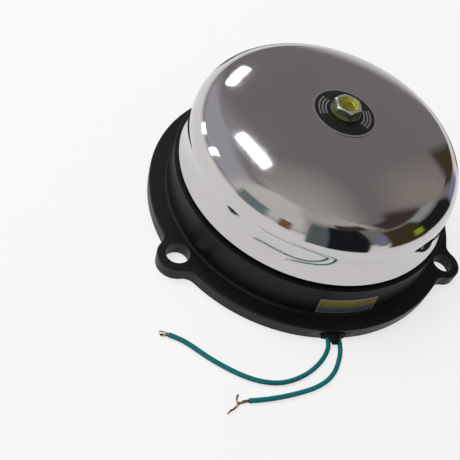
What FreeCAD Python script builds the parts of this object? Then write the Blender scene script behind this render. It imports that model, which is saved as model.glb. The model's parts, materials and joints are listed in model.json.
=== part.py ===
# Round under-dome electric bell: a spun steel gong over a moulded cup with three fixing lugs.
# Under the gong a double-coil electromagnet rocks an armature on a leaf spring, the armature
# opens its own contact, and the hammer on it strikes the inside of the gong.
#
# Frame: millimetres, +Z up through the gong bolt, origin on the gong's axis at the wall face.
# The leads leave towards -Y and the lugs stand at 90, 210 and 330 degrees.
import FreeCAD, Part
import math
import os
import re

import Sketcher
from FreeCAD import Placement, Rotation, Vector

SIZES = {
    # housing
    "flange_radius": 87.4, "flange_thickness": 7.7, "foot_width": 8.0, "back_recess": 3.0,
    "floor_thickness": 3.0, "flange_ledge": 9.2, "wall_draft": 1.6, "wall_thickness": 2.8,
    "rim_overhang": 0.6, "rim_height": 27.1, "rim_depth": 2.0, "rim_width": 3.0, "edge_round": 0.9,
    "wall_fillet": 1.6, "rib_count": 6, "rib_width": 2.2,
    # fixing lugs
    "lug_count": 3, "lug_inset": 0.7, "lug_radius": 10.2, "lug_hole_radius": 6.0,
    "lug_blend": 7.0,
    # lead exit
    "notch_width": 12.0, "notch_height": 5.4, "lead_slot_inset": 7.8, "lead_slot_length": 11.0,
    "lead_slot_width": 7.0, "grommet_proud": 0.4, "grommet_lip": 1.5, "grommet_grip": 1.5,
    "tongue_length": 4.6, "tongue_width": 7.6, "tongue_tip_width": 3.0,
    # gong
    "gong_height": 72.1, "crown_radius": 225.0, "shoulder_radius": 17.0, "lip_flare": 2.4,
    "neck_radius": 32.0, "lip_inset": 2.2, "lip_height": 29.4, "gong_thickness": 1.4,
    # gong seat
    "bolt_radius": 4.0, "bolt_length": 16.0, "bolt_flats": 13.0, "bolt_head": 4.4, "bolt_dimple": 1.3,
    "washer_radius": 8.0, "washer_thickness": 0.8, "disc_radius": 16.9, "disc_thickness": 0.3,
    "cushion_radius": 9.5, "cushion_thickness": 3.0, "pillar_radius": 7.0, "pillar_foot_radius": 11.0,
    "pillar_foot": 3.0, "boss_height": 3.0, "pillar_screw_radius": 3.0, "pillar_screw_head": 5.6,
    # side label
    "side_label_width": 32.2, "side_label_height": 10.2, "side_label_low": 9.3,
    "side_label_angle": 274.2, "side_label_thickness": 0.15,
    # mechanism frame
    "frame_thickness": 2.0, "frame_left": -18.0, "frame_right": 56.0, "frame_reach": 58.5,
    "frame_waist": 30.5, "frame_cut": 17.0, "boss_radius": 4.2, "ear_width": 11.0,
    # electromagnet
    "magnet_set_back": 72.9, "coil_near": 22.0, "coil_pitch": 22.0, "coil_rise": 12.5,
    "yoke_thickness": 5.0, "yoke_height": 15.0, "core_radius": 4.6, "core_length": 29.0,
    "bobbin_radius": 10.4, "bobbin_length": 27.0, "bobbin_wall": 0.8, "bobbin_flange": 1.4,
    "winding_radius": 9.7, "core_screw_radius": 2.5,
    # armature and hammer
    "pole_gap": 3.4, "armature_start": 0.0, "armature_end": 50.5, "armature_thickness": 4.0,
    "armature_height": 14.0, "hinge_free": 7.0, "leaf_thickness": 0.3,
    "leaf_grip": 11.0, "leaf_reach": 12.0, "clamp_thickness": 2.0, "hammer_rod_radius": 1.5,
    "hammer_rod_seat": 12.0,
    "hammer_rod_place": 13.5, "hammer_bend": 7.0, "hammer_ball": 6.0, "hammer_angle": 146.9,
    "strike_gap": 2.6,
    # contact breaker
    "contact_place": 32.0, "strip_thickness": 0.3, "strip_height": 8.0, "strip_start": 15.5,
    "strip_flat": 8.0, "strip_step": 2.2, "strip_end": 37.0, "button_radius": 1.5,
    "button_height": 1.0, "contact_gap": 0.05, "bracket_offset": 4.0, "bracket_thickness": 2.0,
    "bracket_width": 10.0, "block_height": 4.0, "block_width": 14.0, "block_depth": 10.0,
    "contact_screw_radius": 2.0, "contact_screw_length": 11.6, "lock_nut_thickness": 2.4,
    "knob_length": 2.5, "tip_length": 1.2,
    # terminals
    "terminal_set_back": 21.4, "terminal_width": 26.0, "terminal_depth": 16.0, "terminal_height": 12.0,
    "terminal_pitch": 12.0, "terminal_tube": 2.6,
    # leads and fasteners
    "wire_radius": 1.2, "wire_spacing": 6.0, "wire_height": 1.5, "strand_radius": 0.42,
    "screw_radius": 1.5, "screw_head": 2.8, "rivet_radius": 1.2, "fit": 0.1,
}

doc = FreeCAD.newDocument("under_dome_bell")
sizes = doc.addObject("Spreadsheet::Sheet", "sizes")
for row, (alias, value) in enumerate(SIZES.items(), start=1):
    sizes.set(f"A{row}", alias)
    sizes.set(f"B{row}", str(value))
    sizes.setAlias(f"B{row}", alias)
doc.recompute()
PARTS = []


# ---------------------------------------------------------------- values and links
def link(text):
    """Turn a formula in plain size names into one that FreeCAD reads from the sheet."""
    return re.sub(r"[a-z_]+[a-z]", lambda m: f"sizes.{m[0]}" if m[0] in SIZES else m[0], str(text))


def number(text):
    """Value of a formula in millimetres, or in degrees for an angle."""
    found = sizes.evalExpression(link(text))
    return float(getattr(found, "Value", found))


def bind(obj, **formulas):
    """Bind properties to formulas; a double underscore stands for a dot in the property's path."""
    for path, formula in formulas.items():
        obj.setExpression(path.replace("__", "."), link(formula))


def place(obj, x="0", y="0", z="0", axis=(0, 0, 1), turn=0):
    """Turn an object about an axis, then bind its position."""
    obj.Placement = Placement(Vector(), Rotation(Vector(*axis), turn))
    bind(obj, Placement__Base__x=x, Placement__Base__y=y, Placement__Base__z=z)
    return obj


def part(obj, label):
    """Register a finished object as the sub-part that its label names."""
    obj.Label = label
    PARTS.append(obj)
    return obj


# ---------------------------------------------------------------- sketches and features
def body(label):
    return part(doc.addObject("PartDesign::Body", label + "_body"), label)


def plane(owner, role):
    return next(item for item in owner.Origin.OriginFeatures if item.Role == role)


def sketch(owner, role="XY_Plane", height="0"):
    """Sketch on one of the body's own planes, raised by a formula."""
    made = owner.newObject("Sketcher::SketchObject", owner.Label + "_sketch")
    made.AttachmentSupport = (plane(owner, role), [""])
    made.MapMode = "FlatFace"
    bind(made, AttachmentOffset__Base__z=height)
    return made


def fix_point(made, geometry, end, x, y):
    """Hold a sketch point at two formulas, measured from the sketch's origin."""
    for kind, formula, axis in (("DistanceX", x, -2), ("DistanceY", y, -1)):
        if number(formula) == 0:
            made.addConstraint(Sketcher.Constraint("PointOnObject", geometry, end, axis))
            continue
        index = made.addConstraint(
            Sketcher.Constraint(kind, -1, 1, geometry, end, number(formula)))
        made.setExpression(f"Constraints[{index}]", link(formula))


def outline(made, corners):
    """Closed outline of straight lines through corners given as pairs of formulas."""
    points = [Vector(number(x), number(y), 0) for x, y in corners]
    first = made.GeometryCount
    for index, point in enumerate(points):
        made.addGeometry(Part.LineSegment(point, points[(index + 1) % len(points)]), False)
    for index, (x, y) in enumerate(corners):
        before = first + (index - 1) % len(points)
        made.addConstraint(Sketcher.Constraint("Coincident", before, 2, first + index, 1))
        fix_point(made, first + index, 1, x, y)
    return made


def rectangle(made, x, y, width, depth):
    """Rectangle from its low corner and two lengths."""
    right, top = f"({x}) + ({width})", f"({y}) + ({depth})"
    return outline(made, [(x, y), (right, y), (right, top), (x, top)])


def circle(made, x, y, radius):
    index = made.addGeometry(
        Part.Circle(Vector(number(x), number(y), 0), Vector(0, 0, 1), number(radius)), False)
    fix_point(made, index, 3, x, y)
    found = made.addConstraint(Sketcher.Constraint("Radius", index, number(radius)))
    made.setExpression(f"Constraints[{found}]", link(radius))
    return made


def feature(owner, kind, profile, length=None, **settings):
    """Pad or Pocket of a sketch; without a length it goes through everything."""
    made = owner.newObject("PartDesign::" + kind, f"{owner.Label}_{kind.lower()}")
    made.Profile = profile
    if length is None:
        made.Type = 1
    else:
        bind(made, Length=length)
    for name, value in settings.items():
        setattr(made, name, value)
    profile.Visibility = False
    doc.recompute()
    return made


def turned(owner, corners):
    """Solid of revolution about Z from a half-section of (radius, height) formulas."""
    profile = outline(sketch(owner, "XZ_Plane"), corners)
    return revolved(owner, profile)


def revolved(owner, profile, angle="360"):
    made = owner.newObject("PartDesign::Revolution", owner.Label + "_turned")
    made.Profile = profile
    made.ReferenceAxis = (profile, ["V_Axis"])
    bind(made, Angle=angle)
    doc.recompute()
    return made


def around(owner, original, count):
    """Polar pattern of a feature about the body's Z axis."""
    made = owner.newObject("PartDesign::PolarPattern", owner.Label + "_pattern")
    made.Originals = [original]
    made.Axis = (plane_axis(owner), [""])
    made.Angle = 360
    bind(made, Occurrences=count)
    owner.Tip = made
    doc.recompute()
    return made


def plane_axis(owner):
    return plane(owner, "Z_Axis")


def rounded(owner, radius, wanted):
    """Fillet the edges of the body's tip that a test picks."""
    tip = owner.Tip
    names = [f"Edge{index}" for index, edge in enumerate(tip.Shape.Edges, start=1) if wanted(edge)]
    made = owner.newObject("PartDesign::Fillet", owner.Label + "_fillet")
    made.Base = (tip, names)
    bind(made, Radius=radius)
    doc.recompute()
    return made


def ring_edge(radius, height):
    """Test for a round edge about Z with a given radius at a given height."""
    def wanted(edge):
        curve = edge.Curve
        return (isinstance(curve, Part.Circle) and abs(curve.Radius - number(radius)) < 0.01
                and abs(curve.Center.z - number(height)) < 0.01
                and math.hypot(curve.Center.x, curve.Center.y) < 0.01)
    return wanted


# ---------------------------------------------------------------- primitives and booleans
def box(label, x, y, z, length, width, height):
    made = doc.addObject("Part::Box", label)
    bind(made, Length=length, Width=width, Height=height)
    return place(made, x, y, z)


def rod(label, radius, length, x, y, z, along="z"):
    """Cylinder that starts at a point and runs along one axis."""
    made = doc.addObject("Part::Cylinder", label)
    bind(made, Radius=radius, Height=length)
    axis, turn = {"x": ((0, 1, 0), 90), "y": ((1, 0, 0), -90), "z": ((0, 0, 1), 0)}[along]
    return place(made, x, y, z, axis, turn)


def hexagon(label, flats, height, x, y, z, along="z"):
    made = doc.addObject("Part::Prism", label)
    made.Polygon = 6
    bind(made, Circumradius=f"({flats}) / 2 / cos(30)", Height=height)
    axis, turn = {"y": ((1, 0, 0), -90), "z": ((0, 0, 1), 0)}[along]
    return place(made, x, y, z, axis, turn)


def joined(label, *pieces):
    made = doc.addObject("Part::MultiFuse", label + "_joined")
    made.Shapes = list(pieces)
    made.Refine = True
    return made


def cut(label, base, *tools):
    made = doc.addObject("Part::Cut", label + "_cut")
    made.Base = base
    made.Tool = tools[0] if len(tools) == 1 else joined(label + "_tool", *tools)
    return made


def group(label, pieces):
    made = doc.addObject("Part::Compound", label + "_group")
    made.Links = list(pieces)
    return part(made, label)


# ---------------------------------------------------------------- round wire along a route
def route(points, radius=None):
    """Straight runs joined by tangent arcs, each as large as its two runs allow."""
    edges, radii = [], []
    start = points[0]
    for before, corner, after in zip(points, points[1:], points[2:]):
        towards = (corner - before).normalize()
        onward = (after - corner).normalize()
        half = math.acos(max(-1.0, min(1.0, towards.dot(onward)))) / 2
        reach = 0.45 * min((corner - before).Length, (after - corner).Length)
        bend = radius or reach / math.tan(half)
        reach = bend * math.tan(half)
        radii.append(bend)
        enter, leave = corner - towards * reach, corner + onward * reach
        inward = (onward - towards).normalize()
        middle = corner + inward * (bend / math.cos(half) - bend)
        edges.append(Part.LineSegment(start, enter).toShape())
        edges.append(Part.Arc(enter, middle, leave).toShape())
        start = leave
    edges.append(Part.LineSegment(start, points[-1]).toShape())
    return Part.Wire(edges), radii


def tube(label, points, thickness, radius=None):
    """Solid of round section along a route; its volume must be its section times its length."""
    path, radii = route([Vector(*point) for point in points], radius)
    along = path.Edges[0].tangentAt(path.Edges[0].FirstParameter)
    face = Part.Face(Part.Wire(Part.Circle(Vector(*points[0]), along, thickness).toShape()))
    solid = path.makePipe(face)
    made = doc.addObject("Part::Feature", label)
    made.Shape = solid
    share = solid.Volume / (math.pi * thickness ** 2 * path.Length)
    print(f"{label}: length {path.Length:.1f} mm, radii {[round(r, 1) for r in radii]},"
          f" volume share {share:.3f}")
    return made


# ---------------------------------------------------------------- heights and places shared by pieces
FLOOR = "(back_recess + floor_thickness)"
SEAT = f"({FLOOR} + boss_height)"
PLATE = f"({SEAT} + frame_thickness)"
AXIS = f"({PLATE} + coil_rise)"
WALL_FOOT = "(flange_radius - flange_ledge)"
WALL_IN = f"({WALL_FOOT} - wall_thickness)"
WALL_TOP = f"({WALL_FOOT} - wall_draft)"
RIM = f"({WALL_TOP} + rim_overhang)"
RIM_IN = f"({RIM} - rim_width)"
LUG_CIRCLE = "(flange_radius - lug_inset)"
LEAD_SLOT = f"({WALL_IN} - lead_slot_inset)"
LIP = f"({RIM} - lip_inset)"
BULGE = f"({LIP} - lip_flare)"
CROWN = "(gong_height - crown_radius)"
SHOULDER = f"({CROWN} + sqrt((crown_radius - shoulder_radius)^2 - ({BULGE} - shoulder_radius)^2))"
BALL_CIRCLE = f"({BULGE} - gong_thickness - hammer_ball - strike_gap)"
BALL_X = f"({BALL_CIRCLE} * cos(hammer_angle))"
BALL_Y = f"({BALL_CIRCLE} * sin(hammer_angle))"
PILLAR_TOP = "(gong_height - gong_thickness - cushion_thickness)"
FOOT_IN = "(flange_radius - foot_width)"
COIL_FAR = "(coil_near + coil_pitch)"
MAGNET_BACK = f"({WALL_IN} - magnet_set_back)"
FRAME_FRONT = f"({MAGNET_BACK} + frame_reach)"
FRAME_WAIST = f"({MAGNET_BACK} + frame_waist)"
YOKE_BACK = f"({MAGNET_BACK} + frame_thickness)"
YOKE_FRONT = f"({YOKE_BACK} + yoke_thickness)"
POLE = f"({YOKE_FRONT} + core_length)"
ARM_IN = f"({POLE} + pole_gap)"
ARM_OUT = f"({ARM_IN} + armature_thickness)"
ARM_MID = f"({ARM_IN} + armature_thickness / 2)"
EAR_RIGHT = "(armature_start - hinge_free)"
EAR_LEFT = f"({EAR_RIGHT} - ear_width)"
LEAF_OUT = f"({ARM_OUT} + leaf_thickness)"
CLAMP_OUT = f"({LEAF_OUT} + clamp_thickness)"
CLAMP_X = f"({EAR_RIGHT} - ear_width / 2)"
CLAMP_RISE = "(screw_head + 0.2)"
STRIP_OUT = f"({ARM_OUT} + strip_thickness + strip_step)"
TIP = f"({STRIP_OUT} + button_height + contact_gap)"
BRACKET_IN = f"({TIP} + bracket_offset)"
BRACKET_OUT = f"({BRACKET_IN} + bracket_thickness)"
BLOCK_TOP = f"({PLATE} + block_height)"
FRAME_BACK = f"({MAGNET_BACK} - 9)"
FRAME_SCREWS = [("frame_left + 5", f"{FRAME_WAIST} + 5"), ("frame_left + 5", f"{FRAME_FRONT} - 4"),
                ("coil_near", f"{MAGNET_BACK} - 4.5"), (COIL_FAR, f"{MAGNET_BACK} - 4.5")]
BLOCK_SCREWS = [(f"contact_place {way} 3.2", f"{BRACKET_OUT} + 3") for way in "-+"]
BLOCK_PEGS = [(f"contact_place {way} 4.5", f"{BRACKET_OUT} - 0.5") for way in "-+"]
TERMINAL_Y = f"(terminal_set_back - {LEAD_SLOT})"
TERMINAL_AXIS = f"({FLOOR} + terminal_height / 2)"
NOTCH_CORNER = 1.6


def wall_at(height):
    """Outer radius of the sloping wall at a height."""
    return (f"({WALL_FOOT} - wall_draft * (({height}) - flange_thickness)"
            " / (rim_height - rim_depth - flange_thickness))")


def wall_inside(height):
    """Inner radius of the sloping wall at a height."""
    return f"({WALL_IN} - ({WALL_IN} - {RIM_IN}) * (({height}) - {FLOOR}) / (rim_height - {FLOOR}))"


# ---------------------------------------------------------------- housing
def base_housing():
    owner = body("base_housing")
    bore = "pillar_screw_radius + fit"
    turned(owner, [
        (bore, "back_recess"), (FOOT_IN, "back_recess"), (FOOT_IN, "0"), ("flange_radius", "0"),
        ("flange_radius", "flange_thickness"), (WALL_FOOT, "flange_thickness"),
        (WALL_TOP, "rim_height - rim_depth"), (RIM, "rim_height - rim_depth"), (RIM, "rim_height"),
        (RIM_IN, "rim_height"), (WALL_IN, FLOOR), ("pillar_foot_radius + 1.5", FLOOR),
        ("pillar_foot_radius + 1.5", SEAT), (bore, SEAT)])
    rounded(owner, "min(wall_fillet; flange_ledge - 1)", ring_edge(WALL_FOOT, "flange_thickness"))
    rim_edges = [ring_edge(RIM, "rim_height"), ring_edge(RIM_IN, "rim_height"),
                 ring_edge(RIM, "rim_height - rim_depth")]
    rounded(owner, "min(edge_round; rim_width / 3; rim_depth / 3; rim_overhang / 2)",
            lambda edge: any(test(edge) for test in rim_edges))

    lug = feature(owner, "Pad", circle(sketch(owner), "0", LUG_CIRCLE, "lug_radius"),
                  "flange_thickness")
    around(owner, lug, "lug_count")
    reach, lug_radius = number(LUG_CIRCLE), number("lug_radius")
    angles = [math.radians(90 + turn * 360 / number("lug_count")) for turn in range(int(number("lug_count")))]
    centres = [Vector(reach * math.cos(a), reach * math.sin(a), 0) for a in angles]

    def joins_flange(edge):
        low = edge.Vertexes[0].Point
        flat = Vector(low.x, low.y, 0)
        along = edge.Vertexes[-1].Point - low
        upright = along.Length > 1e-6 and along.cross(Vector(0, 0, 1)).Length < 1e-6
        return upright and abs(flat.Length - number("flange_radius")) < 0.01 and any(
            abs((flat - centre).Length - lug_radius) < 0.01 for centre in centres)

    def outer_top(edge):
        box_ = edge.BoundBox
        level = abs(box_.ZMin - number("flange_thickness")) + abs(box_.ZMax - number("flange_thickness"))
        middle = edge.valueAt((edge.FirstParameter + edge.LastParameter) / 2)
        return level < 0.01 and math.hypot(middle.x, middle.y) > number("flange_radius") - 0.05

    rounded(owner, "lug_blend", joins_flange)
    rounded(owner, "edge_round", outer_top)

    hole = feature(owner, "Pocket", circle(sketch(owner, height="flange_thickness"), "0",
                                           LUG_CIRCLE, "lug_hole_radius"))
    around(owner, hole, "lug_count")
    rib = rectangle(sketch(owner, height="0.6"), "pillar_screw_head + 6", "-rib_width / 2",
                    f"{FOOT_IN} - pillar_screw_head - 5", "rib_width")
    around(owner, feature(owner, "Pad", rib, "back_recess - 0.4"), "rib_count")
    bosses = sketch(owner, height=f"{FLOOR} - 0.2")
    for x, y in FRAME_SCREWS:
        circle(bosses, x, y, "boss_radius")
    feature(owner, "Pad", bosses, "boss_height + 0.2")
    pilots = sketch(owner, height=SEAT)
    for x, y in FRAME_SCREWS:
        circle(pilots, x, y, "screw_radius + 0.02")
    feature(owner, "Pocket", pilots, "boss_height + floor_thickness - 1")
    fixing = circle(sketch(owner, height=FLOOR), "0", TERMINAL_Y, "screw_radius + 0.02")
    feature(owner, "Pocket", fixing, "floor_thickness - 0.5")
    slot = rectangle(sketch(owner, height=FLOOR), "-lead_slot_length / 2",
                     f"-{LEAD_SLOT} - lead_slot_width / 2", "lead_slot_length", "lead_slot_width")
    feature(owner, "Pocket", slot)
    notch = sketch(owner, "XZ_Plane", "flange_radius + 2")
    outline(notch, notch_outline("notch_width / 2", "-1", "notch_height"))
    feature(owner, "Pocket", notch, "2 + foot_width + grommet_grip + fit")


def notch_outline(half, low, top):
    """Opening of the lead exit: straight sides and two cut corners at the top."""
    return [(f"-({half})", low), (half, low), (half, f"({top}) - {NOTCH_CORNER}"),
            (f"({half}) - {NOTCH_CORNER}", top), (f"{NOTCH_CORNER} - ({half})", top),
            (f"-({half})", f"({top}) - {NOTCH_CORNER}")]


def cable_grommet():
    """Rubber block in the lead exit, with a lip behind the foot ring and a tongue over the leads."""
    owner = body("cable_grommet")
    face = "flange_radius + grommet_proud"
    block = outline(sketch(owner, "XZ_Plane", face),
                    notch_outline("notch_width / 2 - fit", "0.1", "notch_height - fit"))
    feature(owner, "Pad", block, f"({face}) - {FOOT_IN} + grommet_grip", Reversed=True)
    lip = rectangle(sketch(owner, "XZ_Plane", f"{FOOT_IN} - grommet_grip + 0.1"),
                    "-notch_width / 2 - grommet_lip", "0.1",
                    "notch_width + 2 * grommet_lip", "back_recess - 0.2")
    feature(owner, "Pad", lip, "1.6", Reversed=True)
    low, high = "wire_height + wire_radius + 0.25", "notch_height - fit - 0.5"
    root = outline(sketch(owner, "XZ_Plane", face), [
        ("-tongue_width / 2", low), ("tongue_width / 2", low),
        ("tongue_width / 2 - 1", high), ("1 - tongue_width / 2", high)])
    tip = outline(sketch(owner, "XZ_Plane", f"{face} + tongue_length"), [
        ("-tongue_tip_width / 2", f"{low} - 0.6"), ("tongue_tip_width / 2", f"{low} - 0.6"),
        ("tongue_tip_width / 2 - 0.4", f"{low} + 0.5"), ("0.4 - tongue_tip_width / 2", f"{low} + 0.5")])
    tongue = owner.newObject("PartDesign::AdditiveLoft", "grommet_tongue")
    tongue.Profile = root
    tongue.Sections = [tip]
    tongue.Ruled = True
    doc.recompute()
    bores = sketch(owner, "XZ_Plane", f"{face} + 1")
    for side in ("-wire_spacing / 2", "wire_spacing / 2"):
        circle(bores, side, "wire_height", "wire_radius + fit / 2")
    feature(owner, "Pocket", bores)


def side_label():
    """Thin bare label wrapped on the sloping wall."""
    owner = body("side_label")
    low, high = "side_label_low", "side_label_low + side_label_height"
    gap = "0.03"
    profile = outline(sketch(owner, "XZ_Plane"), [
        (f"{wall_at(low)} + {gap}", low), (f"{wall_at(low)} + {gap} + side_label_thickness", low),
        (f"{wall_at(high)} + {gap} + side_label_thickness", high), (f"{wall_at(high)} + {gap}", high)])
    revolved(owner, profile, f"side_label_width / {WALL_FOOT} * 180 / pi")
    owner.Placement = Placement(Vector(), Rotation(Vector(0, 0, 1), 10))
    bind(owner, Placement__Rotation__Angle=f"side_label_angle - side_label_width / {WALL_FOOT} * 90 / pi")


# ---------------------------------------------------------------- gong and its seat
def gong():
    """Spun bell: shallow crown, tight shoulder, drawn-in neck and flared lip, all one thickness."""
    owner = body("gong")
    made = sketch(owner, "XZ_Plane")
    thick, bore = number("gong_thickness"), number("bolt_radius + fit * 3")
    crown, shoulder, neck = number("crown_radius"), number("shoulder_radius"), number("neck_radius")
    crown_at = Vector(0, number(CROWN), 0)
    across = number(f"{BULGE} - shoulder_radius")
    shoulder_at = crown_at + Vector(across, math.sqrt((crown - shoulder) ** 2 - across ** 2), 0)
    lip = Vector(number(LIP), number("lip_height"), 0)
    span = lip - shoulder_at
    reach = shoulder + neck
    opening = math.acos((reach ** 2 + span.Length ** 2 - neck ** 2) / (2 * reach * span.Length))
    heading = math.atan2(span.y, span.x) + opening
    neck_at = shoulder_at + Vector(math.cos(heading), math.sin(heading), 0) * reach
    top = math.atan2(shoulder_at.y - crown_at.y, shoulder_at.x)
    lip_angle = math.atan2(lip.y - neck_at.y, lip.x - neck_at.x) % (2 * math.pi)

    def arc(centre, radius, first, last):
        ring = Part.Circle(centre, Vector(0, 0, 1), radius)
        return made.addGeometry(Part.ArcOfCircle(ring, first, last), False)

    faces = []
    for inset in (0, thick):
        faces.append((arc(crown_at, crown - inset, top, math.acos(bore / (crown - inset))),
                      arc(shoulder_at, shoulder - inset, heading, top),
                      arc(neck_at, neck + inset, heading + math.pi, lip_angle)))
    ends = []
    for outer, inner in zip(faces[0], faces[1]):
        made.addConstraint(Sketcher.Constraint("Coincident", outer, 3, inner, 3))
    for chain in (faces[0][0], faces[1][0]), (faces[0][2], faces[1][2]):
        points = [made.getPoint(index, 2) for index in chain]
        line = made.addGeometry(Part.LineSegment(*points), False)
        made.addConstraint(Sketcher.Constraint("Coincident", line, 1, chain[0], 2))
        made.addConstraint(Sketcher.Constraint("Coincident", line, 2, chain[1], 2))
        ends.append(line)
    for crown_arc, shoulder_arc, neck_arc in faces:
        made.addConstraint(Sketcher.Constraint("Tangent", crown_arc, 1, shoulder_arc, 2))
        made.addConstraint(Sketcher.Constraint("Tangent", shoulder_arc, 1, neck_arc, 1))
    made.addConstraint(Sketcher.Constraint("Vertical", ends[0]))
    made.addConstraint(Sketcher.Constraint("PointOnObject", faces[0][2], 3, ends[1]))
    made.addConstraint(Sketcher.Constraint("PointOnObject", faces[0][0], 3, -2))
    for kind, first, last, formula in (
            ("DistanceY", (-1, 1), (faces[0][0], 3), CROWN),
            ("DistanceX", (-1, 1), (faces[0][1], 3), f"{BULGE} - shoulder_radius"),
            ("DistanceX", (-1, 1), (ends[0], 1), "bolt_radius + fit * 3")):
        index = made.addConstraint(Sketcher.Constraint(kind, *first, *last, number(formula)))
        made.setExpression(f"Constraints[{index}]", link(formula))
    for arc_index, formula in ((faces[0][0], "crown_radius"), (faces[0][1], "shoulder_radius"),
                               (faces[0][2], "neck_radius"), (faces[1][0], "crown_radius - gong_thickness")):
        index = made.addConstraint(Sketcher.Constraint("Radius", arc_index, number(formula)))
        made.setExpression(f"Constraints[{index}]", link(formula))
    fix_point(made, faces[0][2], 2, LIP, "lip_height")
    revolved(owner, made)


def ball(label, radius, z, x="0", y="0"):
    made = doc.addObject("Part::Sphere", label)
    bind(made, Radius=radius)
    return place(made, x, y, z)


def common(label, *pieces):
    made = doc.addObject("Part::MultiCommon", label + "_common")
    made.Shapes = list(pieces)
    return made


def gong_seat():
    """Pillar, domed rubber cushion, label disc, washer and bolt, from the floor to the top."""
    top, pillar_bore = PILLAR_TOP, "bolt_radius + fit / 2"
    blind, deep = f"{SEAT} + 12", f"{top} - bolt_length"
    owner = body("centre_pillar")
    turned(owner, [
        ("pillar_screw_radius + fit / 2", SEAT), ("pillar_foot_radius", SEAT),
        ("pillar_foot_radius", f"{SEAT} + pillar_foot"), ("pillar_radius", f"{SEAT} + pillar_foot + 2"),
        ("pillar_radius", top), (pillar_bore, top), (pillar_bore, deep), ("0", deep),
        ("0", blind), ("pillar_screw_radius + fit / 2", blind)])
    fixing = rod("pillar_screw_shank", "pillar_screw_radius", f"{SEAT} + 10 - back_recess + 0.5", "0", "0",
                 "back_recess - 0.5")
    head = rod("pillar_screw_head_disc", "pillar_screw_head", "back_recess - 0.8", "0", "0", "0.8")
    slot = box("pillar_screw_slot", "-pillar_screw_head - 1", "-0.6", "0", "2 * pillar_screw_head + 2",
               "1.2", "1.6")
    part(cut("pillar_screw", joined("pillar_screw", fixing, head), slot), "pillar_screw")

    bore = rod("cushion_bore", "bolt_radius + fit", "gong_height", "0", "0", "0")
    cushion = common("gong_cushion", rod("cushion_blank", "cushion_radius", "2 * cushion_thickness",
                                         "0", "0", top),
                     ball("cushion_dome", "crown_radius - gong_thickness - fit / 2", CROWN))
    part(cut("gong_cushion", cushion, bore), "gong_cushion")
    disc = common("label_disc", rod("disc_blank", "disc_radius", "10", "0", "0", "gong_height - 6"),
                  ball("disc_top", "crown_radius + fit / 2 + disc_thickness", CROWN))
    hollow = ball("disc_hollow", "crown_radius + fit / 2", CROWN)
    part(cut("label_disc", disc, hollow,
             rod("disc_bore", "bolt_radius + fit * 2", "12", "0", "0", "gong_height - 6")), "label_disc")

    seat = "(gong_height + disc_thickness + fit / 2)"
    part(cut("gong_washer", rod("washer_blank", "washer_radius", "washer_thickness", "0", "0", seat),
             rod("washer_bore", "bolt_radius + fit", "washer_thickness + 2", "0", "0", f"{seat} - 1")),
         "gong_washer")
    gong_bolt(f"({seat} + washer_thickness)")


def gong_bolt(seat):
    """Hexagon bolt with chamfered corners and a pressed dimple in its head."""
    owner = body("gong_bolt")
    head = sketch(owner, height=seat)
    flats = "bolt_flats / 2"
    corners = [(f"{flats} / cos(30) * cos({angle})", f"{flats} / cos(30) * sin({angle})")
               for angle in (30, 90, 150, 210, 270, 330)]
    corners = [("0" if "cos(90)" in x or "cos(270)" in x else x, y) for x, y in corners]
    feature(owner, "Pad", outline(head, corners), "bolt_head")
    chamfer = owner.newObject("PartDesign::Groove", "bolt_chamfer")
    top = f"({seat} + bolt_head)"
    chamfer.Profile = outline(sketch(owner, "XZ_Plane"), [
        (f"{flats} * 0.96", top), ("bolt_flats", top), ("bolt_flats", f"{top} - bolt_flats * 0.3")])
    chamfer.ReferenceAxis = (chamfer.Profile[0], ["V_Axis"])
    chamfer.Angle = 360
    doc.recompute()
    dimple = owner.newObject("PartDesign::Groove", "bolt_dimple")
    dimple.Profile = outline(sketch(owner, "XZ_Plane"), [
        ("0", f"{top} - bolt_dimple"), (f"{flats} * 0.45", f"{top} - bolt_dimple"),
        (f"{flats} * 0.82", f"{top}"), (f"{flats} * 0.82", f"{top} + 1"), ("0", f"{top} + 1")])
    dimple.ReferenceAxis = (dimple.Profile[0], ["V_Axis"])
    dimple.Angle = 360
    doc.recompute()
    length = f"{seat} - ({PILLAR_TOP} - bolt_length) - 1"
    feature(owner, "Pad", circle(sketch(owner, height=seat), "0", "0", "bolt_radius"), length, Reversed=True)


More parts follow.
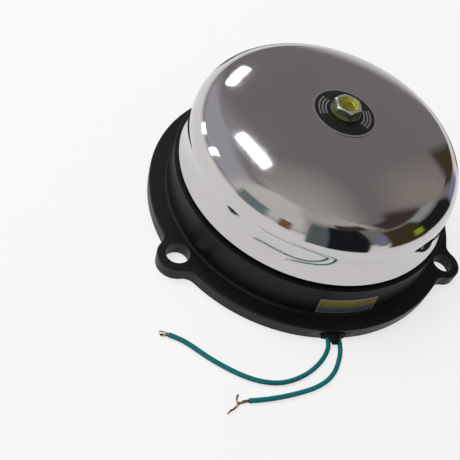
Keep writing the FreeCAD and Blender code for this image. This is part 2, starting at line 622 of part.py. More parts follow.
# ---------------------------------------------------------------- mechanism frame and magnet
def mechanism_frame():
    """Pressed plate with one ear for the magnet and one for the hinge."""
    owner = body("mechanism_frame")
    inner = "pillar_foot_radius + 2"
    plate = outline(sketch(owner, height=SEAT), [
        (inner, FRAME_BACK), ("frame_right", FRAME_BACK), ("frame_right", f"{FRAME_FRONT} - frame_cut - 2"),
        ("frame_right - frame_cut", FRAME_FRONT), ("frame_left", FRAME_FRONT),
        ("frame_left", FRAME_WAIST), (inner, FRAME_WAIST)])
    feature(owner, "Pad", plate, "frame_thickness")
    back_ear = rectangle(sketch(owner, height=f"{PLATE} - 0.5"), "coil_near - bobbin_radius", MAGNET_BACK,
                         "coil_pitch + 2 * bobbin_radius", "frame_thickness")
    feature(owner, "Pad", back_ear, "coil_rise + yoke_height / 2 + 0.5")
    hinge_ear = rectangle(sketch(owner, height=f"{PLATE} - 0.5"), EAR_LEFT, f"{ARM_OUT} - frame_thickness",
                          "ear_width", "frame_thickness")
    feature(owner, "Pad", hinge_ear, "coil_rise + armature_height / 2 + 1")
    holes = sketch(owner, height=PLATE)
    for x, y in FRAME_SCREWS:
        circle(holes, x, y, "screw_radius + fit")
    for x, y in BLOCK_PEGS:
        circle(holes, x, y, "screw_radius + fit")
    feature(owner, "Pocket", holes)
    magnet_holes = sketch(owner, "XZ_Plane", f"1 - {MAGNET_BACK}")
    for x in ("coil_near", COIL_FAR):
        circle(magnet_holes, x, AXIS, "core_screw_radius + fit")
    feature(owner, "Pocket", magnet_holes, "frame_thickness + 2")
    clamp_holes = sketch(owner, "XZ_Plane", f"1 - {ARM_OUT} + frame_thickness")
    for z in (f"{AXIS} - {CLAMP_RISE}", f"{AXIS} + {CLAMP_RISE}"):
        circle(clamp_holes, CLAMP_X, z, "screw_radius + 0.02")
    feature(owner, "Pocket", clamp_holes, "frame_thickness + 2")
    group("frame_screws", [
        screw(f"frame_screw_{index}", x, y, PLATE, "frame_thickness + boss_height + floor_thickness - 1.5")
        for index, (x, y) in enumerate(FRAME_SCREWS)])


def screw(label, x, y, z, shank, along="z", outward=1, radius="screw_radius", cap="screw_head"):
    """Cheese-head screw: the head stands outward from its seat, the shank runs the other way."""
    tall = f"({radius}) * 1.2"
    lap = "0.3"
    head_from, shank_from = (("0", f"-({shank})") if outward > 0 else (f"-({tall})", f"-{lap}"))
    lengths = tall, f"({shank}) + {lap}"
    at = {"z": lambda step: (x, y, f"({z}) + {step}"), "y": lambda step: (x, f"({y}) + {step}", z)}[along]
    return joined(label, rod(label + "_head", cap, lengths[0], *at(head_from), along),
                  rod(label + "_shank", radius, lengths[1], *at(shank_from), along))


def electromagnet():
    owner = body("magnet_yoke")
    bar = rectangle(sketch(owner, "XZ_Plane", f"0 - {YOKE_BACK}"), "coil_near - bobbin_radius",
                    f"{AXIS} - yoke_height / 2", "coil_pitch + 2 * bobbin_radius", "yoke_height")
    feature(owner, "Pad", bar, "yoke_thickness", Reversed=True)
    holes = sketch(owner, "XZ_Plane", f"1 - {YOKE_BACK}")
    for x in ("coil_near", COIL_FAR):
        circle(holes, x, AXIS, "core_screw_radius + fit")
    feature(owner, "Pocket", holes, "yoke_thickness + 2")

    def bar_corner(edge):
        reach = edge.BoundBox
        straight = reach.YLength > number("yoke_thickness") - 0.01 and reach.XLength + reach.ZLength < 0.01
        return straight and abs(reach.ZMax - number(AXIS)) > number("yoke_height") / 2 - 0.01

    rounded(owner, "min(3; yoke_height / 4)", bar_corner)
    inner = "core_radius + fit"
    drum = f"{inner} + bobbin_wall"
    for side, x in (("near", "coil_near"), ("far", COIL_FAR)):
        core = body(f"magnet_core_{side}")
        turned(core, [
            ("core_screw_radius + fit / 2", "0"), ("core_radius", "0"), ("core_radius", "core_length - 0.6"),
            ("core_radius - 0.6", "core_length"), ("0", "core_length"), ("0", "core_length / 2"),
            ("core_screw_radius + fit / 2", "core_length / 2")])
        place(core, x, YOKE_FRONT, AXIS, (1, 0, 0), -90)
        bobbin = body(f"coil_bobbin_{side}")
        turned(bobbin, [
            (inner, "0"), ("bobbin_radius", "0"), ("bobbin_radius", "bobbin_flange"), (drum, "bobbin_flange"),
            (drum, "bobbin_length - bobbin_flange"), ("bobbin_radius", "bobbin_length - bobbin_flange"),
            ("bobbin_radius", "bobbin_length"), (inner, "bobbin_length")])
        place(bobbin, x, YOKE_FRONT, AXIS, (1, 0, 0), -90)
        winding = body(f"coil_winding_{side}")
        low, high = "bobbin_flange + fit", "bobbin_length - bobbin_flange - fit"
        turned(winding, [
            (f"{drum} + fit / 2", low), ("winding_radius - 0.5", low), ("winding_radius", f"{low} + 2"),
            ("winding_radius", f"{high} - 2"), ("winding_radius - 0.5", high), (f"{drum} + fit / 2", high)])
        place(winding, x, YOKE_FRONT, AXIS, (1, 0, 0), -90)
    group("core_screws", [
        screw(f"core_screw_{side}", x, MAGNET_BACK, AXIS,
              "frame_thickness + yoke_thickness + core_length / 2 - 1", "y", -1,
              "core_screw_radius", "core_screw_radius * 1.8")
        for side, x in (("near", "coil_near"), ("far", COIL_FAR))])


# ---------------------------------------------------------------- armature, hinge and hammer
def hinge():
    rows = (f"{AXIS} - {CLAMP_RISE}", f"{AXIS} + {CLAMP_RISE}")
    leaf_left = f"({EAR_RIGHT} - leaf_grip)"
    leaf_tall = "(2 * screw_head + 2 * screw_radius + 2)"
    low = f"{AXIS} - {leaf_tall} / 2"
    leaf = box("leaf_blank", leaf_left, ARM_OUT, low, f"leaf_reach + armature_start - {leaf_left}",
               "leaf_thickness", leaf_tall)
    holes = [rod(f"leaf_hole_{index}", "screw_radius + fit", "leaf_thickness + 2", CLAMP_X, f"{ARM_OUT} - 1",
                 z, "y") for index, z in enumerate(rows)]
    holes += [rod(f"leaf_rivet_hole_{index}", "rivet_radius + fit", "leaf_thickness + 2", x,
                  f"{ARM_OUT} - 1", AXIS, "y") for index, x in enumerate(LEAF_RIVETS)]
    part(cut("armature_spring", leaf, *holes), "armature_spring")
    plate = box("clamp_blank", leaf_left, LEAF_OUT, low, "ear_width", "clamp_thickness", leaf_tall)
    clamp_holes = [rod(f"clamp_hole_{index}", "screw_radius + fit", "clamp_thickness + 2", CLAMP_X,
                       f"{LEAF_OUT} - 1", z, "y") for index, z in enumerate(rows)]
    part(cut("hinge_clamp", plate, *clamp_holes), "hinge_clamp")
    group("hinge_clamp_screws", [
        screw(f"clamp_screw_{index}", CLAMP_X, CLAMP_OUT, z,
              "clamp_thickness + leaf_thickness + frame_thickness + 1", "y")
        for index, z in enumerate(rows)])


LEAF_RIVETS = ("armature_start + 3.5", "armature_start + 8.5")
STRIP_RIVETS = (f"{AXIS} - 2.2", f"{AXIS} + 2.2")
STRIP_RIVET_X = "strip_start + strip_flat / 2"


def rivet(label, x, z, through):
    """Flush rivet through the armature with a low head outside what it holds."""
    tail = rod(label + "_shank", "rivet_radius", f"armature_thickness + {through} + 0.3", x, ARM_IN, z, "y")
    head = rod(label + "_head", "rivet_radius * 1.7", "0.8", x, f"{ARM_OUT} + {through}", z, "y")
    return joined(label, tail, head)


def armature():
    owner = body("armature")
    bar = rectangle(sketch(owner, "XZ_Plane", f"0 - {ARM_IN}"), "armature_start",
                    f"{AXIS} - armature_height / 2", "armature_end - armature_start", "armature_height")
    feature(owner, "Pad", bar, "armature_thickness", Reversed=True)
    rounded(owner, "min(2.5; armature_height / 5)",
            lambda edge: edge.BoundBox.YLength > number("armature_thickness") - 0.01
            and edge.BoundBox.XLength + edge.BoundBox.ZLength < 0.01)
    holes = sketch(owner, "XZ_Plane", f"1 - {ARM_IN}")
    for x in LEAF_RIVETS:
        circle(holes, x, AXIS, "rivet_radius + 0.02")
    for z in STRIP_RIVETS:
        circle(holes, STRIP_RIVET_X, z, "rivet_radius + 0.02")
    feature(owner, "Pocket", holes, "armature_thickness + 2")
    bore = circle(sketch(owner, height=f"{AXIS} + armature_height / 2"), "hammer_rod_place", ARM_MID,
                  "hammer_rod_radius + 0.02")
    feature(owner, "Pocket", bore, "hammer_rod_seat")
    group("armature_rivets", [rivet(f"leaf_rivet_{index}", x, AXIS, "leaf_thickness")
                              for index, x in enumerate(LEAF_RIVETS)])
    group("contact_rivets", [rivet(f"strip_rivet_{index}", STRIP_RIVET_X, z, "strip_thickness")
                             for index, z in enumerate(STRIP_RIVETS)])


def hammer():
    """Bent rod that stands in the armature, clears the hinge and carries a brass ball."""
    x, y, high = number("hammer_rod_place"), number(ARM_MID), number(SHOULDER)
    low = number(f"{AXIS} + armature_height / 2 - hammer_rod_seat + 0.2")
    end = Vector(number(BALL_X), number(BALL_Y), high)
    points = [(x, y, low), (x, y, high), tuple(end)]
    thickness, bend = number("hammer_rod_radius"), number("hammer_bend")
    part(tube("hammer_rod_solid", points, thickness, bend), "hammer_rod")
    backward = (Vector(x, y, high) - end).normalize()
    socket_ends = [tuple(end - backward * 0.3), tuple(end + backward * number("hammer_ball * 1.5"))]
    socket = doc.addObject("Part::Feature", "hammer_socket")
    socket.Shape = Part.makeCylinder(thickness + 0.03, number("hammer_ball * 1.5"),
                                     Vector(*socket_ends[0]), backward)
    head = ball("hammer_head_ball", "hammer_ball", SHOULDER, BALL_X, BALL_Y)
    part(cut("hammer_head", head, socket), "hammer_head")


# ---------------------------------------------------------------- contact breaker
def contact_breaker():
    strip = body("contact_spring")
    flat_end = "(strip_start + strip_flat)"
    step_end = f"({flat_end} + strip_step * 1.4)"
    inner, outer = ARM_OUT, f"({ARM_OUT} + strip_thickness)"
    raised_in, raised_out = f"({ARM_OUT} + strip_step)", STRIP_OUT
    lag = "strip_thickness * 0.6"
    path = outline(sketch(strip, height=f"{AXIS} - strip_height / 2"), [
        ("strip_start", inner), (flat_end, inner), (step_end, raised_in), ("strip_end", raised_in),
        ("strip_end", raised_out), (f"{step_end} - {lag}", raised_out), (f"{flat_end} - {lag}", outer),
        ("strip_start", outer)])
    feature(strip, "Pad", path, "strip_height")
    holes = sketch(strip, "XZ_Plane", f"1 - {ARM_OUT}")
    for z in STRIP_RIVETS:
        circle(holes, STRIP_RIVET_X, z, "rivet_radius + fit")
    feature(strip, "Pocket", holes, "strip_thickness + 2")
    part(rod("contact_button_disc", "button_radius", "button_height", "contact_place", STRIP_OUT, AXIS, "y"),
         "contact_button")

    block = body("contact_block")
    foot = rectangle(sketch(block, height=PLATE), "contact_place - block_width / 2", f"{BRACKET_IN} - 2.5",
                     "block_width", "block_depth")
    feature(block, "Pad", foot, "block_height")
    pegs = sketch(block, height=f"{PLATE} + 0.2")
    for x, y in BLOCK_PEGS:
        circle(pegs, x, y, "screw_radius")
    feature(block, "Pad", pegs, "frame_thickness + 0.6", Reversed=True)
    pilots = sketch(block, height=BLOCK_TOP)
    for x, y in BLOCK_SCREWS:
        circle(pilots, x, y, "rivet_radius + 0.02")
    feature(block, "Pocket", pilots, "block_height - 0.6")

    bracket = body("contact_bracket")
    base = rectangle(sketch(bracket, height=BLOCK_TOP), "contact_place - bracket_width / 2 - 1", BRACKET_IN,
                     "bracket_width + 2", "block_depth - 2.7")
    feature(bracket, "Pad", base, "bracket_thickness")
    upright = rectangle(sketch(bracket, height=BLOCK_TOP), "contact_place - bracket_width / 2", BRACKET_IN,
                        "bracket_width", "bracket_thickness")
    feature(bracket, "Pad", upright, f"{AXIS} - {BLOCK_TOP} + contact_screw_radius + 3")
    through = circle(sketch(bracket, "XZ_Plane", f"1 - {BRACKET_IN}"), "contact_place", AXIS,
                     "contact_screw_radius + 0.02")
    feature(bracket, "Pocket", through, "bracket_thickness + 2")
    feet = sketch(bracket, height=f"{BLOCK_TOP} + bracket_thickness")
    for x, y in BLOCK_SCREWS:
        circle(feet, x, y, "rivet_radius + fit")
    feature(bracket, "Pocket", feet, "bracket_thickness + 0.01")
    group("contact_block_screws", [
        screw(f"block_screw_{index}", x, y, f"{BLOCK_TOP} + bracket_thickness",
              "bracket_thickness + block_height - 1", radius="rivet_radius", cap="rivet_radius * 1.8")
        for index, (x, y) in enumerate(BLOCK_SCREWS)])
    pointed = rod("contact_screw_tip", "button_radius * 0.8", "tip_length", "contact_place", TIP, AXIS, "y")
    thread = rod("contact_screw_thread", "contact_screw_radius", "contact_screw_length - 0.5",
                 "contact_place", f"{TIP} + 0.5", AXIS, "y")
    knob = rod("contact_screw_knob", "contact_screw_radius * 1.8", "knob_length", "contact_place",
               f"{TIP} + contact_screw_length - knob_length", AXIS, "y")
    part(joined("contact_screw", pointed, thread, knob), "contact_screw")
    nut = hexagon("lock_nut_hex", "contact_screw_radius * 3.5", "lock_nut_thickness", "contact_place",
                  BRACKET_OUT, AXIS, "y")
    part(cut("contact_lock_nut", nut, rod("lock_nut_bore", "contact_screw_radius + 0.02",
                                          "lock_nut_thickness + 2", "contact_place",
                                          f"{BRACKET_OUT} - 1", AXIS, "y")),
         "contact_lock_nut")


# ---------------------------------------------------------------- terminals
def terminals():
    owner = body("terminal_block")
    sides = ("-terminal_pitch / 2", "terminal_pitch / 2")
    rows = (f"{TERMINAL_Y} - terminal_depth / 4", f"{TERMINAL_Y} + terminal_depth / 4")
    base = rectangle(sketch(owner, height=FLOOR), "-terminal_width / 2", f"{TERMINAL_Y} - terminal_depth / 2",
                     "terminal_width", "terminal_depth")
    feature(owner, "Pad", base, "terminal_height")
    rounded(owner, "min(2; terminal_depth / 6)", lambda edge: edge.BoundBox.ZLength > 1)
    ways = sketch(owner, "XZ_Plane", f"terminal_depth / 2 + 1 - {TERMINAL_Y}")
    for x in sides:
        circle(ways, x, TERMINAL_AXIS, "terminal_tube + 0.03")
    feature(owner, "Pocket", ways)
    top = f"({FLOOR} + terminal_height)"
    wells = sketch(owner, height=top)
    for x in sides:
        for y in rows:
            circle(wells, x, y, "screw_head * 0.75")
    feature(owner, "Pocket", wells, "terminal_height / 2")
    fixing = circle(sketch(owner, height=top), "0", TERMINAL_Y, "screw_radius + fit")
    feature(owner, "Pocket", fixing)
    tubes, screws = [], []
    for side, x in enumerate(sides):
        blank = rod(f"terminal_tube_{side}", "terminal_tube", "terminal_depth - 2", x,
                    f"{TERMINAL_Y} - terminal_depth / 2 + 1", TERMINAL_AXIS, "y")
        bores = [rod(f"terminal_bore_{side}", "terminal_tube - 1", "terminal_depth", x,
                     f"{TERMINAL_Y} - terminal_depth / 2", TERMINAL_AXIS, "y")]
        for row_index, y in enumerate(rows):
            name = f"terminal_screw_{side}_{row_index}"
            bores.append(rod(name + "_tap", "screw_radius + 0.02", "terminal_height", x, y, TERMINAL_AXIS))
            foot = f"({TERMINAL_AXIS} + wire_radius + 0.1)"
            screws.append(rod(name, "screw_radius", f"{top} - {foot} - 0.6", x, y, foot))
        tubes.append(cut(f"terminal_tube_cut_{side}", blank, *bores))
    group("terminal_tubes", tubes)
    group("terminal_screws", screws)
    part(screw("terminal_fixing", "0", TERMINAL_Y, top, "terminal_height + floor_thickness - 0.7"),
         "terminal_fixing_screw")


# ---------------------------------------------------------------- leads inside the bell
def inner_leads():
    """Insulated leads held inside: two from the exit to the terminals, three to the coils and contact."""
    thin = number("wire_radius * 2 / 3")
    thick, level = number("wire_radius"), number("wire_height")
    face = -number("flange_radius + grommet_proud")
    tie, drop = number(TERMINAL_AXIS), -number(LEAD_SLOT)
    near_end = number(f"{TERMINAL_Y} - terminal_depth / 2")
    for name, side in (("left", -1), ("right", 1)):
        far, close = side * number("terminal_pitch / 2"), side * number("wire_spacing / 2")
        part(tube(f"supply_lead_{name}_solid", [
            (far, near_end + 3.5, tie), (far, near_end - 4, tie), (close, drop + 0.6, tie - 2.5),
            (close, drop, level), (close, face, level)], thick), f"supply_lead_{name}")
    out = number(f"{TERMINAL_Y} + terminal_depth / 2")
    axis, top_z = number(AXIS), number(PLATE)
    near, far_x = number("coil_near"), number(COIL_FAR)
    skin = number("winding_radius")
    pocket = number(f"{YOKE_FRONT} + bobbin_flange + 3")
    left = -number("terminal_pitch / 2")
    part(tube("coil_lead_solid", [
        (left, out - 3.5, tie), (left, out + 3, tie), (left - 4.5, out + 13, tie + 0.5),
        (-12.2, -13, top_z + 3), (-12.4, -1, top_z + 5), (-9.0, 8.6, axis - 4), (-2.5, pocket, axis - 1),
        (near - skin - 7, pocket, axis), (near - skin - 0.05, pocket, axis)], thin), "coil_lead")
    arch = axis + skin
    part(tube("coil_link_solid", [
        (near, pocket, arch + 0.05), (near, pocket, arch + 5), (near + 6, pocket + 0.4, arch + 9.5),
        (far_x - 6.5, pocket + 0.6, arch + 9.8), (far_x, pocket, arch + 5),
        (far_x, pocket, arch + 0.05)], thin), "coil_link")
    tail = number(f"{MAGNET_BACK} - 4.5")
    cap = top_z + number("screw_radius * 1.2") + thin
    part(tube("frame_lead_solid", [
        (far_x + skin + 0.05, pocket, axis), (far_x + skin + 5.8, pocket, axis),
        (far_x + skin + 8.2, pocket - 4.5, axis - 4), (far_x + skin + 6.5, tail + 4, top_z + 3.6),
        (far_x + skin, tail + 0.4, cap - 1), (far_x + number("screw_head") + 0.1 + thin, tail, cap - 1.2)],
        thin), "frame_lead")
    bracket_y = number(f"{BRACKET_OUT} + 3")
    screw_edge = number("contact_place + 3.2 + rivet_radius * 1.8")
    clip = number(f"{BLOCK_TOP} + bracket_thickness") + thin
    low = number(FLOOR) + 3
    sweep = []
    for wall_gap, turn, height in ((11.6, -1, low - 0.4), (6.0, 14.3, low - 0.3), (2.6, 27.3, low + 0.5),
                                   (1.4, 39.5, low + 4.5), (1.2, 49.7, clip - 0.4)):
        reach, turn = number(wall_inside(height)) - wall_gap, math.radians(turn)
        sweep.append((reach * math.cos(turn), reach * math.sin(turn), height))
    part(tube("contact_lead_solid", [
        (-left, out - 3.5, tie), (-left, out + 4, tie), (-left + 9, out + 11, tie - 0.5),
        (34, -24.5, tie - 2), (number("frame_right") - 4, -17, low), *sweep,
        (screw_edge + 0.1 + thin, bracket_y, clip + 0.1)], thin), "contact_lead")


# ---------------------------------------------------------------- free leads
LONG_ROUTE = [(-3.0, -87.8), (-3.0, -92.0), (-5.3, -96.7), (-9.8, -102.0), (-16.2, -106.8),
              (-23.9, -110.2), (-31.9, -111.7), (-40.7, -110.4), (-48.9, -107.1), (-56.8, -102.4),
              (-64.0, -97.3), (-70.5, -91.7), (-75.9, -87.6), (-81.2, -85.3)]
SHORT_ROUTE = [(3.0, -87.8), (3.0, -92.4), (2.0, -97.2), (0.0, -101.9), (-2.7, -106.6), (-7.3, -111.1),
               (-14.1, -114.6), (-22.7, -116.9), (-32.3, -118.6), (-40.9, -119.5), (-47.2, -119.6)]


def free_leads():
    """The two leads lie on the surface below the bell and end in bare strands."""
    low = number("wire_radius") + 0.06
    start = number("wire_height")
    face = -number("flange_radius + grommet_proud")
    for name, plan in (("long", LONG_ROUTE), ("short", SHORT_ROUTE)):
        heights = [start, start] + [low] * (len(plan) - 2)
        points = [(x, y, z) for (x, y), z in zip(plan, heights)]
        points[0] = (math.copysign(number("wire_spacing / 2"), plan[0][0]), face, start)
        part(tube(f"supply_wire_{name}_solid", points, number("wire_radius")), f"supply_wire_{name}")
    strand = number("strand_radius")
    end = Vector(*LONG_ROUTE[-1], low)
    ahead = (end - Vector(*LONG_ROUTE[-2], low)).normalize()
    aside = Vector(-ahead.y, ahead.x, 0)
    bundle("strands_long", [
        [end + aside * shift, end + ahead * 2.0 + aside * shift, end + ahead * reach + aside * shift * 0.6]
        for shift, reach in ((-0.48, 3.6), (0.48, 4.1))], strand)
    end = Vector(*SHORT_ROUTE[-1], low)
    ahead = (end - Vector(*SHORT_ROUTE[-2], low)).normalize()
    aside = Vector(-ahead.y, ahead.x, 0)
    bundle("strands_short", [
        [end + aside * 0.45, end + ahead * 3.2 + aside * 0.45, end + ahead * 7.0 + aside * 3.0,
         end + ahead * 10.2 + aside * 6.6],
        [end - aside * 0.45, end + ahead * 3.0 - aside * 0.45, end + ahead * 4.9 - aside * 1.4]], strand)


def bundle(label, paths, thickness):
    """Group of bare strands, each a thin rod along its own short path."""
    group(label, [tube(f"{label}_{index}", [tuple(point) for point in path], thickness)
                  for index, path in enumerate(paths)])


# ---------------------------------------------------------------- assembly and export
def check_and_write():
    doc.recompute()
    for obj in doc.Objects:
        if "Invalid" in obj.State or "Error" in obj.State:
            raise RuntimeError(f"{obj.Name} failed: {obj.State}")
    os.makedirs("parts", exist_ok=True)
    for obj in PARTS:
        shape = obj.Shape
        if shape.isNull() or not shape.isValid() or not shape.Solids:
            raise RuntimeError(f"{obj.Label} has no valid solid")
        shape.exportStep(f"parts/{obj.Label}.step")
    print(f"{len(PARTS)} sub-parts written")


base_housing()
cable_grommet()
side_label()
gong()
gong_seat()
mechanism_frame()
electromagnet()
armature()
hinge()
hammer()
contact_breaker()
terminals()
inner_leads()
free_leads()
check_and_write()
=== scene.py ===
"""Dresses the under-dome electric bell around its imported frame.

Lengths are metres in the part's own frame: +Z out of the wall through the gong bolt, origin on the
gong's axis at the wall face, leads leaving towards -Y.
"""

import json
import logging
import math
import random
from dataclasses import dataclass, replace
from enum import Enum
from typing import Callable, Sequence

import bmesh
import bpy
from mathutils import Matrix, Vector

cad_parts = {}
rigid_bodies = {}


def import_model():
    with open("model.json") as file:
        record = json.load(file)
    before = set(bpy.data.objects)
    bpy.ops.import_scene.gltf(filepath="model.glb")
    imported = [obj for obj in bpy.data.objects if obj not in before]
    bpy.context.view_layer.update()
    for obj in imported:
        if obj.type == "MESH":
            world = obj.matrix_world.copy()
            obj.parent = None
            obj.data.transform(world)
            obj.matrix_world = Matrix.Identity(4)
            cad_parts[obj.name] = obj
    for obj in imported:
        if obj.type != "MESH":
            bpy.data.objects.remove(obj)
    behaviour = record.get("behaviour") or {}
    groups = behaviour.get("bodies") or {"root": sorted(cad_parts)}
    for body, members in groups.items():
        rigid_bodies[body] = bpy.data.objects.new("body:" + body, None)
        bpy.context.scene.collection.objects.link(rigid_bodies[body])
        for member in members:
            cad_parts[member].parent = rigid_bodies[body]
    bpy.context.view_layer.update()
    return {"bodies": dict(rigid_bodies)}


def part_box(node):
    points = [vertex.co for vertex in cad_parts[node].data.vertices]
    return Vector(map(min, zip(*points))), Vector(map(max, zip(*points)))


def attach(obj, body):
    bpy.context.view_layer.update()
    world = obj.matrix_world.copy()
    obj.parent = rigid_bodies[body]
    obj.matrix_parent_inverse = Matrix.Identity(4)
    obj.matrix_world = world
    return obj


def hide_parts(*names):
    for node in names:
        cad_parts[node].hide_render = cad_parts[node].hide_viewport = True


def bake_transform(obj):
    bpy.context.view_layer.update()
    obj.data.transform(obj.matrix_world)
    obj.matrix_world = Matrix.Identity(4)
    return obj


MM = 0.001
BASE = "bell_base"
UP = (0.0, 0.0, 1.0)
SHARP = math.radians(35)
LAID_DOWN = (math.radians(-90), 0.0, 0.0)
log = logging.getLogger("bell")

Value = "Link | float | Sequence[float]"
Put = Callable[[str, Value], None]
Pair = tuple[float, float]
Triple = tuple[float, float, float]
Piece = bpy.types.Object
record = dataclass(frozen=True)


# ---- node arithmetic
class Link:
    """A node socket that takes part in arithmetic."""

    def __init__(self, graph: "Graph", socket: bpy.types.NodeSocket) -> None:
        """Keep the socket and the graph that new nodes go into."""
        self.graph = graph
        self.socket = socket

    def _operator(operation: str, flipped: bool = False) -> Callable[..., "Link"]:
        """Method that adds a Math node for one operation."""
        return lambda self, *others: self.call(operation, *others, flipped=flipped)

    __add__ = _operator("ADD")
    __sub__ = _operator("SUBTRACT")
    __rsub__ = _operator("SUBTRACT", flipped=True)
    __mul__ = _operator("MULTIPLY")
    __truediv__ = _operator("DIVIDE")
    __pow__ = _operator("POWER")

    def call(self, operation: str, *others: Value, flipped: bool = False) -> "Link":
        """Add a Math node for an operation on this value and others, or on others and this value."""
        values = (*others, self) if flipped else (self, *others)
        return self.graph.node("ShaderNodeMath", {"operation": operation}, *values)

    def above(self, edge: Value, soft: float) -> "Link":
        """Mask that rises from 0 to 1 at an edge, over a given width."""
        return self.graph.node("ShaderNodeMath", {"operation": "MULTIPLY_ADD", "use_clamp": True},
                               self - edge, 1.0 / soft, 0.5)

    def below(self, edge: Value, soft: float) -> "Link":
        """Mask that is 1 where the value is under an edge."""
        return 1.0 - self.above(edge, soft)

    def between(self, low: Value, high: Value, soft: float) -> "Link":
        """Mask that is 1 between two edges."""
        return self.above(low, soft) * self.below(high, soft)


class Graph:
    """Adds nodes to a node tree from their type, settings and socket values."""

    def __init__(self, tree: bpy.types.NodeTree) -> None:
        """Keep the tree that the nodes go into."""
        self.tree = tree

    def put(self, socket: bpy.types.NodeSocket, value: Value) -> None:
        """Link a socket, or set its value.

        Args:
            socket: the input.
            value: a link, a number or a row of numbers; a colour may leave out its alpha.
        """
        if isinstance(value, Link):
            self.tree.links.new(value.socket, socket)
            return
        if isinstance(value, (tuple, list)) and socket.type == "RGBA":
            value = (*value, 1.0)[:4]
        socket.default_value = value

    def node(self, kind: str, settings: dict | None = None, *values: Value, out: int | str = 0,
             **named: Value) -> Link:
        """Add a node.

        Args:
            kind: the node's type.
            settings: properties that are set before its sockets.
            values: socket values in order; None leaves a socket alone.
            out: the output that is returned.
            named: socket values by name, with underscores for spaces.

        Returns:
            The chosen output.
        """
        made = self.tree.nodes.new(kind)
        for name, setting in (settings or {}).items():
            setattr(made, name, setting)
        for socket, value in zip(made.inputs, values):
            if value is not None:
                self.put(socket, value)
        for name, value in named.items():
            self.put(made.inputs[name.replace("_", " ")], value)
        return Link(self, made.outputs[out])

    def mix(self, share: Value, first: Value, second: Value) -> Link:
        """Blend two colours by a share from 0 to 1."""
        return self.node("ShaderNodeMix", {"data_type": "RGBA"}, share, *[None] * 5, first, second, out=2)

    def place(self) -> Link:
        """Object coordinates, in metres."""
        return self.node("ShaderNodeTexCoord", None, out="Object")

    def axes(self, place: Link | None = None) -> tuple[Link, ...]:
        """The three numbers of a vector, which is the Object coordinates if none is given."""
        split = self.node("ShaderNodeSeparateXYZ", None, place or self.place()).socket.node
        return tuple(Link(self, output) for output in split.outputs)

    def polar(self, centre: Triple = (0.0, 0.0, 0.0)) -> tuple[Link, Link, Link]:
        """Radius, angle and height about a vertical axis through a centre."""
        x, y, z = (along - middle for along, middle in zip(self.axes(), centre))
        return (x * x + y * y) ** 0.5, y.call("ARCTAN2", x), z

    def vector(self, x: Value, y: Value, z: Value) -> Link:
        """Vector from three numbers."""
        return self.node("ShaderNodeCombineXYZ", None, x, y, z)

    def noise(self, scale: float, detail: float, place: Link | None = None) -> Link:
        """Noise from 0 to 1 on Object coordinates or a given vector."""
        return self.node("ShaderNodeTexNoise", None, Vector=place or self.place(), Scale=scale, Detail=detail)

    def bump(self, height: Value, depth: float, strength: float) -> Link:
        """Normal from a height from 0 to 1 and its depth in metres."""
        return self.node("ShaderNodeBump", None, Strength=strength, Distance=depth, Height=height)

    def grain(self, scale: float, detail: float, depth: float, strength: float) -> Link:
        """Normal from a fine noise and its depth in metres."""
        return self.bump(self.noise(scale, detail), depth, strength)

    def surface(self, share: Value, first: Link, second: Link) -> None:
        """Show a blend of two shaders as the material's surface."""
        self.put(self.tree.nodes["Material Output"].inputs["Surface"],
                 self.node("ShaderNodeMixShader", None, share, first, second))


# ---- finishes
def painted(name: str) -> tuple[bpy.types.Material, Graph]:
    """New material and its graph."""
    (made := bpy.data.materials.new(name)).use_nodes = True
    return made, Graph(made.node_tree)


def shade(colour: Triple, gain: float, lift: float = 0.0) -> Triple:
    """Lighter or darker tone of a colour."""
    return tuple(gain * channel + lift for channel in colour)


@record
class Finish:
    """A surface finish. Each kind paints one Principled shader."""

    name: str
    slot: str

    def material(self) -> bpy.types.Material:
        """Build the material once.

        Returns:
            The same material on every call.
        """
        if self.name not in bpy.data.materials:
            _, graph = painted(self.name)
            shader = graph.tree.nodes["Principled BSDF"]
            self.paint(graph, lambda name, value: graph.put(shader.inputs[name], value))
        return bpy.data.materials[self.name]

    def paint(self, graph: Graph, put: Put) -> None:
        """Set the shader's sockets.

        Args:
            graph: adds nodes to the material.
            put: sets or links a socket of the shader by name.
        """
        raise NotImplementedError


@record
class Clouded(Finish):
    """Even surface that turns to a second tone in soft clouds, with or without a fine grain.

    The second tone is the tint, or else the colour times its gain plus its lift. The roughness follows
    the clouds, or a soft step through their middle where sheen gives its width. The grain is scale,
    detail, depth and strength.
    """

    colour: Triple = (0.5, 0.5, 0.5)
    tint: Triple | None = None
    rough: float = 0.42
    uneven: float = 0.14
    gain: float = 1.0
    lift: float = 0.0
    scale: float = 200.0
    detail: float = 4.0
    edge: float = 0.5
    soft: float = 0.5
    sheen: float = 0.0
    metallic: float = 0.0
    specular: float = 0.5
    coat: float = 0.0
    grain: tuple[float, float, float, float] | None = None

    def paint(self, graph: Graph, put: Put) -> None:
        """Paint both tones, their sheen and the grain."""
        cloud = graph.noise(self.scale, self.detail)
        put("Base Color", graph.mix(cloud.above(self.edge, self.soft), self.colour,
                                    self.tint or shade(self.colour, self.gain, self.lift)))
        put("Roughness", (cloud.above(0.5, self.sheen) if self.sheen else cloud) * self.uneven + self.rough)
        put("Metallic", self.metallic)
        put("Specular IOR Level", self.specular)
        put("Coat Weight", self.coat)
        if self.grain:
            put("Normal", graph.grain(*self.grain))


